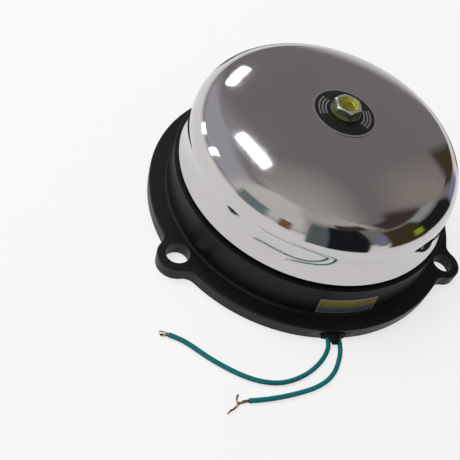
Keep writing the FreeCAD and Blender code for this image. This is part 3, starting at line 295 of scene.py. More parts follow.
@record
class PolishedGong(Finish):
    """Bright plating over spun steel, with fine polishing rings and faint handling marks."""

    colour: Triple = (0.60, 0.585, 0.58)
    smear_gain: float = 0.94
    rough: float = 0.055
    smear_rough: float = 0.025
    wipe_rough: float = 0.02
    ring_pitch: float = 5200.0
    ring_depth: float = 0.0012 * MM

    def paint(self, graph: Graph, put: Put) -> None:
        """Paint rings along the spin and soft smears across it."""
        radius, angle, height = graph.polar()
        along = (radius * radius + height * height) ** 0.5
        rings = graph.noise(1.0, 3.0, graph.vector(along * self.ring_pitch, angle * 1.5, 0.0))
        smears = graph.noise(28.0, 4.0)
        wipes = graph.noise(1.0, 3.0, graph.vector(angle * 9, along * 60, height * 90))
        put("Base Color", graph.mix(smears.above(0.45, 0.5), self.colour, shade(self.colour, self.smear_gain)))
        put("Metallic", 1.0)
        put("Roughness", smears.above(0.5, 0.4) * self.smear_rough + self.rough
            + wipes.above(0.55, 0.3) * self.wipe_rough)
        put("Normal", graph.bump(rings, self.ring_depth, 0.35))


@record
class BoltHead(Finish):
    """Hexagon bolt: olive passivate in the dished face, a painted highlight ring round its edge and pale green
    flats.
    """

    # radius where the painted highlight ring on the top face begins
    rim: float
    olive: Triple = (0.34, 0.36, 0.035)
    bright: Triple = (0.62, 0.62, 0.10)
    # colour of the painted highlight ring
    edge: Triple = (0.74, 0.77, 0.68)
    flats: Triple = (0.40, 0.46, 0.36)
    stain_gain: float = 0.75

    def paint(self, graph: Graph, put: Put) -> None:
        """Paint the face, its painted highlight ring and the flats by the surface's tilt and distance from the
        axis.
        """
        tilt = graph.axes(graph.node("ShaderNodeNewGeometry", None, out="Normal"))[2]
        radius = graph.polar()[0]
        cloud = graph.noise(420.0, 4.0)
        face = graph.mix(cloud.above(0.5, 0.35), self.olive, self.bright)
        # painted highlight: the outer part of the top face is pale, as where light catches it
        top = graph.mix(radius.above(self.rim, 0.5 * MM), face, self.edge)
        sides = graph.mix(cloud.above(0.56, 0.3), self.flats, shade(self.flats, self.stain_gain))
        put("Base Color", graph.mix(tilt.above(0.25, 0.1), sides, top))
        put("Metallic", 1.0)
        put("Roughness", cloud * 0.14 + 0.27)
        put("Normal", graph.grain(1500.0, 3.0, 0.012 * MM, 0.35))


@record
class Layered(Finish):
    """Surface with fine layers or tool lines along one axis, in two tones."""

    colour: Triple
    tint: Triple
    squeeze: Triple
    detail: float
    stain: tuple[float, ...]
    rough: float
    uneven: float
    depth: float
    metallic: float = 0.0

    def paint(self, graph: Graph, put: Put) -> None:
        """Paint the layers, and the second tone in them or in stains of their own."""
        squeezed = graph.vector(*(along * share for along, share in zip(graph.axes(), self.squeeze)))
        lines = graph.noise(1.0, self.detail, squeezed)
        edge, soft, *scale = self.stain
        tone = graph.noise(*scale, 4.0) if scale else lines
        put("Base Color", graph.mix(tone.above(edge, soft), self.colour, self.tint))
        put("Metallic", self.metallic)
        put("Roughness", lines * self.uneven + self.rough)
        put("Normal", graph.bump(lines, self.depth, 0.5 if scale else 0.4))


@record
class PrintedDisc(Finish):
    """Black printed aluminium with a bare rim and plain arcs on two sides."""

    radius: float
    bare_width: float = 1.1 * MM
    arc_centre: float = math.radians(163)
    arc_half: float = math.radians(30)
    arcs: Triple = (0.60, 0.70, 0.80)
    line: float = 0.045
    soft: float = 0.08 * MM

    def paint(self, graph: Graph, put: Put) -> None:
        """Paint the rim and the arcs as bare metal in the black print."""
        radius, angle, _ = graph.polar()
        turned = (angle - self.arc_centre).call("COSINE").call("ABSOLUTE")
        sides = turned.above(math.cos(self.arc_half), 0.01)
        bare = radius.above(self.radius - self.bare_width, self.soft)
        half = self.radius * self.line / 2
        for middle in (self.radius * share for share in self.arcs):
            bare = bare.call("MAXIMUM", radius.between(middle - half, middle + half, self.soft) * sides)
        wear = graph.noise(900.0, 4.0)
        ink = graph.mix(wear.above(0.6, 0.2), (0.005,) * 3, (0.014,) * 3)
        metal = graph.mix(wear.above(0.5, 0.4), (0.5, 0.5, 0.5), (0.38, 0.38, 0.39))
        put("Base Color", graph.mix(bare, ink, metal))
        put("Metallic", bare * 0.9)
        put("Roughness", 0.42 - bare * 0.08)
        put("Specular IOR Level", 0.35)
        put("Normal", graph.bump(bare, 0.04 * MM, 0.5))


@record
class FoilLabel(Finish):
    """Foil label in plain fields, both painted darker with shade: a yellow half over a pale blue half, with a
    bare silver border.
    """

    low: float
    high: float
    middle_angle: float = math.radians(274.2)
    half_width: float = 16.1 * MM
    wall_radius: float = 78.2 * MM

    def paint(self, graph: Graph, put: Put) -> None:
        """Paint the fields by height and by angle round the wall."""
        _, angle, height = graph.polar()
        across = ((angle - self.middle_angle).call("WRAP", math.pi, -math.pi)
                  / (self.half_width / self.wall_radius))
        up = (height - self.low) / (self.high - self.low)
        inside = up.between(0.06, 0.94, 0.02) * across.call("ABSOLUTE").below(0.965, 0.015)
        dull = graph.noise(260.0, 4.0)
        # painted shade: the yellow and the blue are darker than the label's own print, as the label sits in
        # shade
        yellow = graph.mix(dull.above(0.5, 0.5), (0.23, 0.20, 0.02), (0.16, 0.14, 0.018))
        blue = graph.mix(dull.above(0.5, 0.5), (0.085, 0.12, 0.15), (0.06, 0.09, 0.125))
        put("Base Color", graph.mix(inside, (0.3, 0.3, 0.26), graph.mix(up.above(0.42, 0.03), blue, yellow)))
        put("Metallic", 0.55 - inside * 0.35)
        put("Roughness", dull * 0.12 + 0.34)
        put("Normal", graph.grain(500.0, 3.0, 0.03 * MM, 0.35))


ZINC_GRAIN = (3200.0, 2.0, 0.012 * MM, 0.4)
BRASS_GRAIN = (3000.0, 2.0, 0.01 * MM, 0.4)
BRIGHT_ZINC = Clouded("bright_zinc_plate", "bright_zinc", (0.6, 0.62, 0.64), (0.5, 0.52, 0.5), 0.28, 0.12,
                      scale=240.0, soft=0.45, metallic=1.0, grain=ZINC_GRAIN)
YELLOW_ZINC = replace(BRIGHT_ZINC, name="yellow_zinc_plate", slot="yellow_zinc", colour=(0.34, 0.38, 0.2),
                      tint=(0.26, 0.29, 0.12), rough=0.3)
SPRING_STEEL = replace(BRIGHT_ZINC, name="blued_spring", slot="spring_steel", colour=(0.3, 0.34, 0.44),
                       tint=(0.24, 0.26, 0.32), rough=0.22)
SILVER = replace(BRIGHT_ZINC, name="silver_contact_face", slot="silver_contact", colour=(0.84, 0.83, 0.8),
                 tint=(0.7, 0.68, 0.64), rough=0.15)
BRASS = Clouded("turned_brass", "brass_parts", (0.78, 0.56, 0.24), (0.48, 0.3, 0.12), 0.2, 0.2,
                scale=190.0, edge=0.55, soft=0.35, metallic=1.0, grain=BRASS_GRAIN)
SPRING_BRONZE = replace(BRASS, name="bronze_strip", slot="spring_bronze", colour=(0.72, 0.42, 0.2),
                        tint=(0.5, 0.28, 0.13))
BLACK_MOULDING = Clouded("black_moulding_skin", "black_moulding", (0.0044, 0.0049, 0.0062), None, 0.36, 0.12,
                         gain=1.7, scale=22.0, sheen=0.6, specular=0.25, grain=(900.0, 3.0, 0.05 * MM, 0.3))
BLACK_RUBBER = Clouded("black_rubber_skin", "black_rubber", (0.006, 0.006, 0.0065), None, 0.62, 0.2, gain=2.0,
                       scale=160.0, edge=0.55, soft=0.4, specular=0.2, grain=(1400.0, 2.0, 0.06 * MM, 0.5))
BOBBIN = Clouded("bobbin_nylon", "bobbin_moulding", (0.66, 0.63, 0.54), gain=0.86, scale=70.0, soft=0.6,
                 grain=(1300.0, 2.0, 0.04 * MM, 0.4))
TERMINAL = replace(BOBBIN, name="terminal_nylon", slot="terminal_moulding", colour=(0.74, 0.73, 0.68))
GREEN_PVC = Clouded("green_insulation_skin", "green_insulation", (0.001, 0.132, 0.142), gain=1.45, lift=0.004,
                    scale=90.0, detail=3.0, soft=0.6, specular=0.3, grain=(1800.0, 2.0, 0.02 * MM, 0.4))
BLACK_PVC = replace(GREEN_PVC, name="black_insulation_skin", slot="inner_insulation",
                    colour=(0.012, 0.012, 0.014))
ENAMEL = Clouded("enamelled_turns", "enamelled_winding", (0.42, 0.11, 0.035), (0.6, 0.2, 0.06), 0.24, 0.12,
                 scale=260.0, metallic=0.75, coat=0.6)
COPPER = Clouded("bare_copper_strand", "bare_copper", (0.42, 0.23, 0.12), (0.16, 0.075, 0.035), 0.3, 0.2,
                 scale=700.0, soft=0.4, metallic=1.0)
IRON = Layered("machined_iron", "soft_iron", (0.34, 0.34, 0.35), (0.2, 0.19, 0.18), (300.0, 300.0, 6000.0), 3.0,
               (0.52, 0.4, 120.0), 0.33, 0.15, 0.015 * MM, 1.0)
PHENOLIC = Layered("brown_laminate", "phenolic", (0.17, 0.07, 0.03), (0.1, 0.04, 0.018), (0.0, 0.0, 5200.0),
                   2.0, (0.5, 0.3), 0.4, 0.12, 0.03 * MM)


# ---- geometry recipes
class Recipe(Graph):
    """Geometry Nodes tree with named sizes that ends in plain geometry of one material."""

    KINDS = {float: "NodeSocketFloat", int: "NodeSocketInt", Piece: "NodeSocketObject"}

    def __init__(self, name: str, finish: Finish, **sizes: float | int | Piece) -> None:
        """Make the tree's interface: loose geometry and one input for each size.

        Args:
            name: the tree's name.
            finish: what the surface is.
            sizes: value of each named input; an object stands for its mesh.
        """
        super().__init__(bpy.data.node_groups.new(name, "GeometryNodeTree"))
        self.finish = finish
        self.sizes = sizes
        face = self.tree.interface
        face.new_socket("Geometry", in_out="OUTPUT", socket_type="NodeSocketGeometry")
        face.new_socket("Geometry", in_out="INPUT", socket_type="NodeSocketGeometry")
        for size, value in sizes.items():
            face.new_socket(size, in_out="INPUT", socket_type=self.KINDS[type(value)])
        self.start = self.tree.nodes.new("NodeGroupInput")

    def given(self, size: str = "Geometry") -> Link:
        """One of the tree's inputs."""
        return Link(self, self.start.outputs[size])

    def solid(self, size: str) -> Link:
        """Mesh of an object that is one of the inputs."""
        return self.node("GeometryNodeObjectInfo", None, self.given(size), out="Geometry")

    def join(self, *parts: Link) -> Link:
        """All parts as one geometry."""
        made = self.tree.nodes.new("GeometryNodeJoinGeometry")
        for part in parts:
            self.put(made.inputs[0], part)
        return Link(self, made.outputs[0])

    def moved(self, part: Link, x: Value = 0.0, y: Value = 0.0, z: Value = 0.0,
              turn: Triple = (0.0, 0.0, 0.0)) -> Link:
        """Part turned, then moved."""
        return self.node("GeometryNodeTransform", None, part, Translation=self.vector(x, y, z), Rotation=turn)

    def wire(self, path: Link, radius: Value, sides: int = 6) -> Link:
        """Round wire along a curve."""
        section = self.node("GeometryNodeCurvePrimitiveCircle", None, Resolution=sides, Radius=radius)
        return self.node("GeometryNodeCurveToMesh", None, path, section, Fill_Caps=True)

    def make(self, name: str, result: Link, places: Sequence[Vector] = (),
             edges: Sequence[tuple[int, int]] = ()) -> Piece:
        """Close the tree, run it and take its plain mesh.

        Args:
            name: the piece's name.
            result: the geometry to finish.
            places: points that the tree's geometry input holds.
            edges: pairs of those points that are joined.

        Returns:
            The piece, smooth apart from its sharp edges. Objects among the inputs are gone.
        """
        real = self.node("GeometryNodeRealizeInstances", None, result)
        done = self.node("GeometryNodeSetMaterial", None, real, Material=self.finish.material())
        self.put(self.tree.nodes.new("NodeGroupOutput").inputs["Geometry"], done)
        mesh = bpy.data.meshes.new(name)
        mesh.from_pydata([tuple(place) for place in places], list(edges), [])
        piece = linked(name, mesh)
        recipe = piece.modifiers.new("recipe", "NODES")
        recipe.node_group = self.tree
        for item in self.tree.interface.items_tree:
            if item.in_out == "INPUT" and item.name in self.sizes:
                recipe[item.identifier] = self.sizes[item.name]
        bm = bmesh.new()
        bm.from_mesh(baked(piece).data)
        for used in (piece, *(size for size in self.sizes.values() if isinstance(size, Piece))):
            bpy.data.objects.remove(used)
        return meshed(name, bm)


# ---- pieces
def linked(name: str, data: bpy.types.ID) -> Piece:
    """Object at the origin that carries the given mesh, curve, camera or lamp."""
    bpy.context.scene.collection.objects.link(made := bpy.data.objects.new(name, data))
    return made


def meshed(name: str, bm: bmesh.types.BMesh, angle: float = SHARP, outward: bool = True) -> Piece:
    """Turn an edit mesh into a piece, smooth apart from its sharp edges.

    Args:
        name: the piece's name.
        bm: its mesh, which is used up.
        angle: the least angle of a sharp edge.
        outward: whether all faces are turned outward first.

    Returns:
        The piece.
    """
    if outward:
        bmesh.ops.recalc_face_normals(bm, faces=bm.faces)
    mesh = bpy.data.meshes.new(name)
    bm.to_mesh(mesh)
    bm.free()
    mesh.shade_smooth()
    mesh.set_sharp_from_angle(angle=angle)
    return linked(name, mesh)


def fitted(piece: Piece, finish: Finish, node: str, rides: bool = True) -> Piece:
    """Finish a piece and hide the CAD node that it stands for.

    Args:
        piece: the mesh or curve object, in place.
        finish: what its surface is.
        node: the CAD node that it stands for.
        rides: whether the whole piece rides on the base.

    Returns:
        The same piece.
    """
    if rides:
        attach(piece, BASE)
        log.info("%s rides on %s", piece.name, BASE)
    piece.data.materials.clear()
    piece.data.materials.append(finish.material())
    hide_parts(node)
    return piece


def lathe(name: str, profile: Sequence[Pair], segments: int) -> Piece:
    """Closed solid of revolution about Z.

    Args:
        name: the piece's name.
        profile: closed section of (radius, height) points, in metres.
        segments: steps round the axis.

    Returns:
        The piece.
    """
    bm = bmesh.new()
    rings = []
    for radius, height in profile:
        turns = [math.tau * step / segments for step in range(segments if radius > 1e-6 else 1)]
        rings.append([bm.verts.new((radius * math.cos(turn), radius * math.sin(turn), height))
                      for turn in turns])
    for ring, following in zip(rings, rings[1:] + rings[:1]):
        for step in range(segments):
            corners = [ring[step % len(ring)], ring[(step + 1) % len(ring)],
                       following[(step + 1) % len(following)], following[step % len(following)]]
            corners = list(dict.fromkeys(corners))
            if len(corners) > 2:
                bm.faces.new(corners)
    return meshed(name, bm)


def arc_points(centre: Pair, radius: float, first: float, last: float, step: float) -> list[Pair]:
    """Points along an arc in the section plane.

    Args:
        centre: middle of the arc.
        radius: its radius.
        first: angle where it starts.
        last: angle where it ends.
        step: about the angle between two points.

    Returns:
        The points, ends included.
    """
    count = max(2, round(abs(last - first) / step))
    turns = [first + (last - first) * index / count for index in range(count + 1)]
    return [(centre[0] + radius * math.cos(turn), centre[1] + radius * math.sin(turn)) for turn in turns]


def thread(root: float, crest: float, start: float, end: float, pitch: float) -> list[Pair]:
    """Section of a thread.

    Args:
        root: radius at the bottom of the thread.
        crest: radius at its top.
        start: depth of its first root.
        end: depth that it stays short of.
        pitch: depth of one turn.

    Returns:
        Points of (radius, depth), from root to root.
    """
    points = []
    while start < end - pitch:
        points += [(root, start), (crest, start + pitch / 2)]
        start += pitch
    return points + [(root, start)]


def merged(node: str) -> bmesh.types.BMesh:
    """Edit mesh of a CAD node.

    Args:
        node: the node's name.

    Returns:
        Its mesh, with the triangles joined.
    """
    bm = bmesh.new()
    bm.from_mesh(bpy.data.objects[node].data)
    bmesh.ops.remove_doubles(bm, verts=bm.verts, dist=0.0005 * MM)
    return bm


def islands(node: str) -> list[tuple[Vector, Vector]]:
    """Find the separate solids of a CAD node.

    Args:
        node: the node's name.

    Returns:
        Lowest and highest corner of each solid, in order.
    """
    bm = merged(node)
    left, boxes = set(bm.verts), []
    while left:
        edge = [left.pop()]
        low, high = edge[0].co.copy(), edge[0].co.copy()
        while edge:
            vert = edge.pop()
            low = Vector(map(min, low, vert.co))
            high = Vector(map(max, high, vert.co))
            near = {link.other_vert(vert) for link in vert.link_edges} & left
            left -= near
            edge.extend(near)
        boxes.append((low, high))
    bm.free()
    return sorted(boxes, key=lambda box: tuple(box[0]))


def refined(name: str, node: str, finish: Finish, angle: float = math.radians(32)) -> None:
    """Stand a smooth copy in for a CAD node, with normals weighted by face area.

    Args:
        name: the piece's name.
        node: the node's name.
        finish: what its surface is.
        angle: the least angle of a sharp edge.
    """
    piece = meshed(name, merged(node), angle, outward=False)
    piece.modifiers.new("weighted", "WEIGHTED_NORMAL").keep_sharp = True
    fitted(baked(piece), finish, node)


def baked(piece: Piece) -> Piece:
    """Apply a piece's modifiers by taking its evaluated mesh.

    Args:
        piece: the mesh object.

    Returns:
        The same piece.
    """
    graph = bpy.context.evaluated_depsgraph_get()
    mesh = bpy.data.meshes.new_from_object(piece.evaluated_get(graph), preserve_all_data_layers=True,
                                           depsgraph=graph)
    old = piece.data
    piece.modifiers.clear()
    piece.data = mesh
    bpy.data.meshes.remove(old)
    mesh.name = piece.name
    return piece


# ---- view and light
@record
class Shot:
    """Camera with its place and its right and down directions."""

    place: Triple = (-0.12801, -0.24014, 0.27797)
    right: Triple = (0.92989, -0.18648, 0.31706)
    down: Triple = (0.03633, -0.81120, -0.58364)
    lens: float = 52.63
    shift: Pair = (-0.2110, 0.0501)
    sensor: float = 36.0

    def build(self) -> None:
        """Make the camera and hand it to the scene."""
        data = bpy.data.cameras.new("camera")
        data.lens = self.lens
        data.sensor_width = self.sensor
        data.sensor_fit = "HORIZONTAL"
        data.clip_start = 10 * MM
        data.shift_x, data.shift_y = self.shift
        camera = linked("camera", data)
        right, up = Vector(self.right).normalized(), -Vector(self.down)
        up = (up - right * up.dot(right)).normalized()
        turn = Matrix((right, up, right.cross(up))).transposed()
        camera.matrix_world = Matrix.Translation(Vector(self.place)) @ turn.to_4x4()
        bpy.context.scene.camera = camera


def direction(azimuth: float, elevation: float) -> Vector:
    """Unit vector towards an azimuth and an elevation in degrees."""
    turn, rise = math.radians(azimuth), math.radians(elevation)
    return Vector((math.cos(rise) * math.cos(turn), math.cos(rise) * math.sin(turn), math.sin(rise)))


@record
class Softbox:
    """Rectangular lamp with an even face, aimed at one spot of the bell."""

    name: str
    azimuth: float
    elevation: float
    distance: float
    width: float
    height: float
    radiance: float
    aim: Triple
    roll: float = 0.0
    colour: Triple = (0.95, 0.97, 1.0)
    mirrored: bool = True

    def build(self) -> None:
        """Make the lamp; its power follows from its face and its radiance."""
        data = bpy.data.lights.new(self.name, "AREA")
        data.shape = "RECTANGLE"
        data.size = self.width
        data.size_y = self.height
        data.energy = self.radiance * math.pi * self.width * self.height
        data.color = self.colour
        lamp = linked(self.name, data)
        lamp.visible_camera = False
        lamp.visible_glossy = self.mirrored
        away = direction(self.azimuth, self.elevation)
        lamp.matrix_world = (Matrix.Translation(Vector(self.aim) + away * self.distance)
                             @ away.to_track_quat("Z", "Y").to_matrix().to_4x4()
                             @ Matrix.Rotation(math.radians(self.roll), 4, "Z"))


def staged(name: str, bm: bmesh.types.BMesh, paint: Callable[[Graph], None]) -> Piece:
    """Make a painted surface for the studio.

    Args:
        name: the name of the surface and of its material.
        bm: its mesh, which is used up.
        paint: sets up its material.

    Returns:
        The surface.
    """
    surface = meshed(name, bm)
    made, graph = painted(name)
    paint(graph)
    surface.data.materials.append(made)
    return surface


FRONT = (-0.010, -0.068, 0.057)
RIGHT = (0.018, -0.064, 0.060)


@record
class Card:
    """Plain card out of view, seen only in polished surfaces, given by the directions that it covers."""

    name: str
    west: float
    east: float
    low: float
    high: float
    colour: Triple
    soft: float = 3.0
    distance: float = 2.2
    about: Triple = (0.0, 0.0, 0.0)
    columns: int = 16
    rows: int = 8

    def build(self) -> None:
        """Bend the card round the bell and hide it from all but reflections."""
        bm = bmesh.new()
        grid = [[bm.verts.new(direction(self.west + (self.east - self.west) * column / self.columns,
                                        self.low + (self.high - self.low) * row / self.rows) * self.distance
                              + Vector(self.about))
                 for column in range(self.columns + 1)] for row in range(self.rows + 1)]
        for row in range(self.rows):
            for column in range(self.columns):
                bm.faces.new((grid[row][column], grid[row][column + 1],
                              grid[row + 1][column + 1], grid[row + 1][column]))
        card = staged(self.name, bm, self._paint)
        for ray in ("camera", "diffuse", "transmission", "volume_scatter", "shadow"):
            setattr(card, f"visible_{ray}", False)

    def _paint(self, graph: Graph) -> None:
        """Paint an even face that fades out along its edges.

        Args:
            graph: adds nodes to the card's material.
        """
        graph.tree.nodes.remove(graph.tree.nodes["Principled BSDF"])
        radius, turn, height = graph.polar(self.about)
        west, east, low, high, fade = map(math.radians, (self.west, self.east, self.low, self.high, self.soft))
        aside = (turn - (west + east) / 2).call("WRAP", math.pi, -math.pi).call("ABSOLUTE")
        shown = (aside.below((east - west) / 2 - fade / 2, fade)
                 * height.call("ARCTAN2", radius).between(low + fade / 2, high - fade / 2, fade))
        clear = graph.node("ShaderNodeBsdfTransparent")
        graph.surface(shown, clear, graph.node("ShaderNodeEmission", None, Color=self.colour, Strength=1.0))


@record
class Studio:
    """Pale floor, soft lamps, a plain room and the cards that the polished bell mirrors."""

    floor_half: float = 3.0
    floor_drop: float = 0.1 * MM
    floor_colour: Triple = (0.93, 0.93, 0.93)
    floor_white: float = 0.7
    lamps: tuple[Softbox, ...] = (
        Softbox("window_high", 99.8, 59.0, 1.3, 0.062, 0.32, 13.0, (-0.049, -0.027, 0.065), 14.0),
        Softbox("window_back", 91.5, 27.5, 1.3, 0.05, 0.22, 14.0, (-0.050, 0.024, 0.065), -40.0),
        Softbox("window_left", 142.0, 6.0, 1.3, 0.17, 0.22, 11.0, (-0.068, -0.007, 0.058)),
        Softbox("window_side", 160.5, 15.0, 1.3, 0.13, 0.46, 7.0, (-0.065, -0.022, 0.057)),
        Softbox("ceiling_fill", 150.0, 62.0, 1.8, 1.3, 1.3, 4.0, (0.0, 0.0, 0.03), 0.0,
                (1.0, 0.99, 0.97), False),
    )
    cards: tuple[Card, ...] = (
        Card("wall_left", 98, 196, 2, 66, (0.46, 0.45, 0.50), 14.0),
        Card("wall_front", 180, 258, 2, 84, (0.70, 0.69, 0.66), 12.0),
        Card("shelf_front", 236, 330, 44, 84, (0.52, 0.50, 0.47), 14.0, 2.15),
        Card("grey_door", 194, 224, -2, 30, (0.19, 0.24, 0.25), 5.0, 2.1),
        Card("wood_post", 227, 240, -3, 24, (0.22, 0.12, 0.08), 3.0, 0.6, FRONT),
        Card("grey_pane", 244, 272, -20, 46, (0.12, 0.145, 0.15), 3.0, 0.135, FRONT),
        Card("dark_doorway", 264, 306, -21, 52, (0.012, 0.014, 0.017), 3.0, 0.130, FRONT),
        Card("dark_beam", 274, 322, 45, 63, (0.05, 0.046, 0.043), 5.0, 0.126, FRONT),
        Card("pale_blind", 301, 313, -3, 36, (0.22, 0.23, 0.36), 3.0, 0.24, RIGHT),
        Card("olive_curtain", 311, 350, -14, 40, (0.06, 0.045, 0.02), 4.0, 0.235, RIGHT),
        Card("brown_shelf", 322, 384, 40, 62, (0.065, 0.045, 0.038), 4.0, 0.31, RIGHT),
        Card("green_jar", 335, 346, -2, 16, (0.30, 0.42, 0.03), 3.0, 0.225, RIGHT),
        Card("dark_corner", 343, 378, -12, 26, (0.018, 0.018, 0.018), 4.0, 0.23, RIGHT),
        Card("pale_cloth", 372, 392, -9, 12, (0.24, 0.26, 0.40), 4.0, 0.27, RIGHT),
        Card("pale_sill", 348, 382, 28, 44, (0.36, 0.36, 0.37), 4.0, 0.32, RIGHT),
        Card("pale_curtain", 370, 398, 22, 60, (0.33, 0.29, 0.265), 12.0, 2.0),
        Card("dark_frame", 384, 404, 4, 25, (0.07, 0.05, 0.03), 3.0, 0.30, RIGHT),
        Card("dark_bench_edge", 10, 118, -13, 6, (0.05, 0.042, 0.038), 5.0, 0.135, (0.0, 0.0, 0.03)),
    )
    room: tuple[tuple[float, Triple], ...] = (
        (0.0, (0.80, 0.80, 0.80)), (0.52, (0.80, 0.80, 0.80)), (0.57, (0.225, 0.205, 0.21)),
        (0.945, (0.225, 0.208, 0.212)), (0.99, (0.46, 0.45, 0.43)))

    def build(self) -> None:
        """Make the floor, the room, the lamps and the cards."""
        bm = bmesh.new()
        bmesh.ops.create_grid(bm, x_segments=1, y_segments=1, size=self.floor_half)
        bmesh.ops.translate(bm, verts=bm.verts, vec=(0, 0, -self.floor_drop))
        staged("studio_floor", bm, self._paint_floor)
        self._light_room()
        for item in (*self.lamps, *self.cards):
            item.build()
        bpy.context.scene.view_settings.view_transform = "Standard"

    def _paint_floor(self, graph: Graph) -> None:
        """Paint matt white paper that keeps the bell's shadow.

        Args:
            graph: adds nodes to the floor's material.
        """
        paper = graph.tree.nodes["Principled BSDF"]
        for name, value in (("Base Color", self.floor_colour), ("Roughness", 0.9), ("Specular IOR Level", 0.1)):
            graph.put(paper.inputs[name], value)
        camera, glossy, through = (graph.node("ShaderNodeLightPath", None, out=f"Is {kind} Ray")
                                   for kind in ("Camera", "Glossy", "Transmission"))
        seen = camera.call("MAXIMUM", glossy).call("MAXIMUM", through)
        white = graph.node("ShaderNodeEmission", None, Color=(1.0, 1.0, 1.0), Strength=1.0)
        graph.surface(seen * self.floor_white, Link(graph, paper.outputs[0]), white)

    def _light_room(self) -> None:
        """Light the room: pale at the horizon, grey walls and a paler ceiling."""
        world = bpy.data.worlds.new("studio_room")
        bpy.context.scene.world = world
        world.use_nodes = True
        graph = Graph(world.node_tree)
        rise = graph.axes(graph.node("ShaderNodeTexCoord", None, out="Generated"))[2]
        room = graph.node("ShaderNodeValToRGB", None, rise * 0.5 + 0.5)
        stops = room.socket.node.color_ramp.elements
        for _ in self.room[len(stops):]:
            stops.new(0.5)
        for stop, (position, colour) in zip(stops, self.room):
            stop.position, stop.color = position, (*colour, 1.0)
        graph.put(world.node_tree.nodes["Background"].inputs["Color"], room)


# ---- leads
@record
class Lead:
    """Insulated lead that lies on the surface below the bell, with its bare strands.

    Each tail is a number of strands and the places that they pass, in millimetres as the route.
    """

    name: str
    length: float
    route: tuple[Pair, ...]
    tails: tuple[tuple[int, tuple[Pair, ...]], ...]
    diameter: float = 2.4 * MM
    lie: float = 1.26 * MM
    exit_height: float = 1.5 * MM
    strand: float = 0.2 * MM
    spread: tuple[float, ...] = (0.62, 0.55, 0.42, 0.24, 0.18, 0.14)
    twist: float = 1.1
    flatness: float = 0.6
    stray: float = 0.12 * MM
    tucked_in: float = 0.8 * MM
    seed: int = 7

    def build(self) -> None:
        points = [Vector((x * MM, y * MM, self.exit_height if index < 2 else self.lie))
                  for index, (x, y) in enumerate(self.route)]
        lead = fitted(self._spline(f"lead_{self.name}", points), GREEN_PVC, f"supply_wire_{self.name}")
        strands = fitted(self._strands(f"bare_{self.name}", points[-1]), COPPER, f"strands_{self.name}")

    def _strands(self, name: str, end: Vector) -> Piece:
        """Bare strands that leave the cut insulation in twisted groups.

        Args:
            name: the piece's name.
            end: middle of the cut insulation.

        Returns:
            All strands as one piece.
        """
        chance = random.Random(self.seed)
        places, edges, made = [], [], 0
        total = sum(strands for strands, _ in self.tails)
        for strands, passed in self.tails:
            middles = [end] + [Vector((x * MM, y * MM, self.lie)) for x, y in passed]
            for _ in range(strands):
                first = len(places)
                for index, middle in enumerate(middles):
                    turn = math.tau * made / total + self.twist * index
                    offset = Vector((math.cos(turn), math.sin(turn) * self.flatness, math.sin(turn)))
                    loose = Vector((chance.uniform(-1, 1), chance.uniform(-1, 1), 0)) * self.stray * index
                    places.append(middle + offset * self.spread[index] * MM + loose)
                    if index:
                        edges.append((len(places) - 2, len(places) - 1))
                places[first] += (places[first] - places[first + 1]).normalized() * self.tucked_in
                made += 1
        drawing = Recipe(name, COPPER, **{"Wire Radius": self.strand, "Steps": 6})
        path = drawing.node("GeometryNodeCurveSplineType", {"spline_type": "BEZIER"},
                            drawing.node("GeometryNodeMeshToCurve", None, drawing.given()))
        soft = drawing.node("GeometryNodeCurveSetHandles", {"handle_type": "AUTO", "mode": {"LEFT", "RIGHT"}},
                            path)
        fine = drawing.node("GeometryNodeSetSplineResolution", None, soft, Resolution=drawing.given("Steps"))
        return drawing.make(name, drawing.wire(fine, drawing.given("Wire Radius")), places, edges)

    def _spline(self, name: str, points: Sequence[Vector]) -> Piece:
        """Smooth tube through the lead's route.

        Args:
            name: the piece's name.
            points: places that steer it.

        Returns:
            The piece.
        """
        curve = bpy.data.curves.new(name, "CURVE")
        curve.dimensions = "3D"
        spline = curve.splines.new("NURBS")
        spline.points.add(len(points) - 1)
        for point, place in zip(spline.points, points):
            point.co = (*place, 1.0)
            point.radius = self.diameter / 2
        spline.order_u = 3
        spline.use_endpoint_u = True
        curve.resolution_u = 16
        curve.bevel_depth = 1.0
        curve.bevel_resolution = 6
        curve.use_fill_caps = True
        return linked(name, curve)


LEADS = (
    Lead("long", 0.0974, (
        (-3.0, -87.8), (-3.0, -92.0), (-5.3, -96.7), (-9.8, -102.0), (-16.2, -106.8), (-23.9, -110.2),
        (-31.9, -111.7), (-40.7, -110.4), (-48.9, -107.1), (-56.8, -102.4), (-64.0, -97.3),
        (-70.5, -91.7), (-75.9, -87.6), (-81.2, -85.3)), (
        (2, ((-82.6, -84.5), (-84.9, -83.5))),
        (3, ((-82.8, -84.9), (-85.2, -84.6))),
        (2, ((-82.8, -85.5), (-85.1, -85.9))))),
    Lead("short", 0.0676, (
        (3.0, -87.8), (3.0, -92.4), (2.0, -97.2), (0.0, -101.9), (-2.7, -106.6), (-7.3, -111.1),
        (-14.1, -114.6), (-22.7, -116.9), (-32.3, -118.6), (-40.9, -119.5), (-47.2, -119.6)), (
        (3, ((-49.6, -119.9), (-52.0, -120.3), (-52.5, -118.5), (-51.8, -116.2))),
        (4, ((-49.8, -120.1), (-52.0, -120.8), (-53.8, -122.5), (-56.2, -123.8), (-57.6, -125.3))))))


# ---- housing and gong
class Housing:
    """Black cup with its lead exit and its label."""

    def build(self) -> None:
        """Dress the three pieces."""
        refined("cup", "base_housing", BLACK_MOULDING)
        refined("lead_grommet", "cable_grommet", BLACK_RUBBER)
        low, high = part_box("side_label")
        refined("wall_label", "side_label", FoilLabel("foil_label_print", "label_film", low.z, high.z))


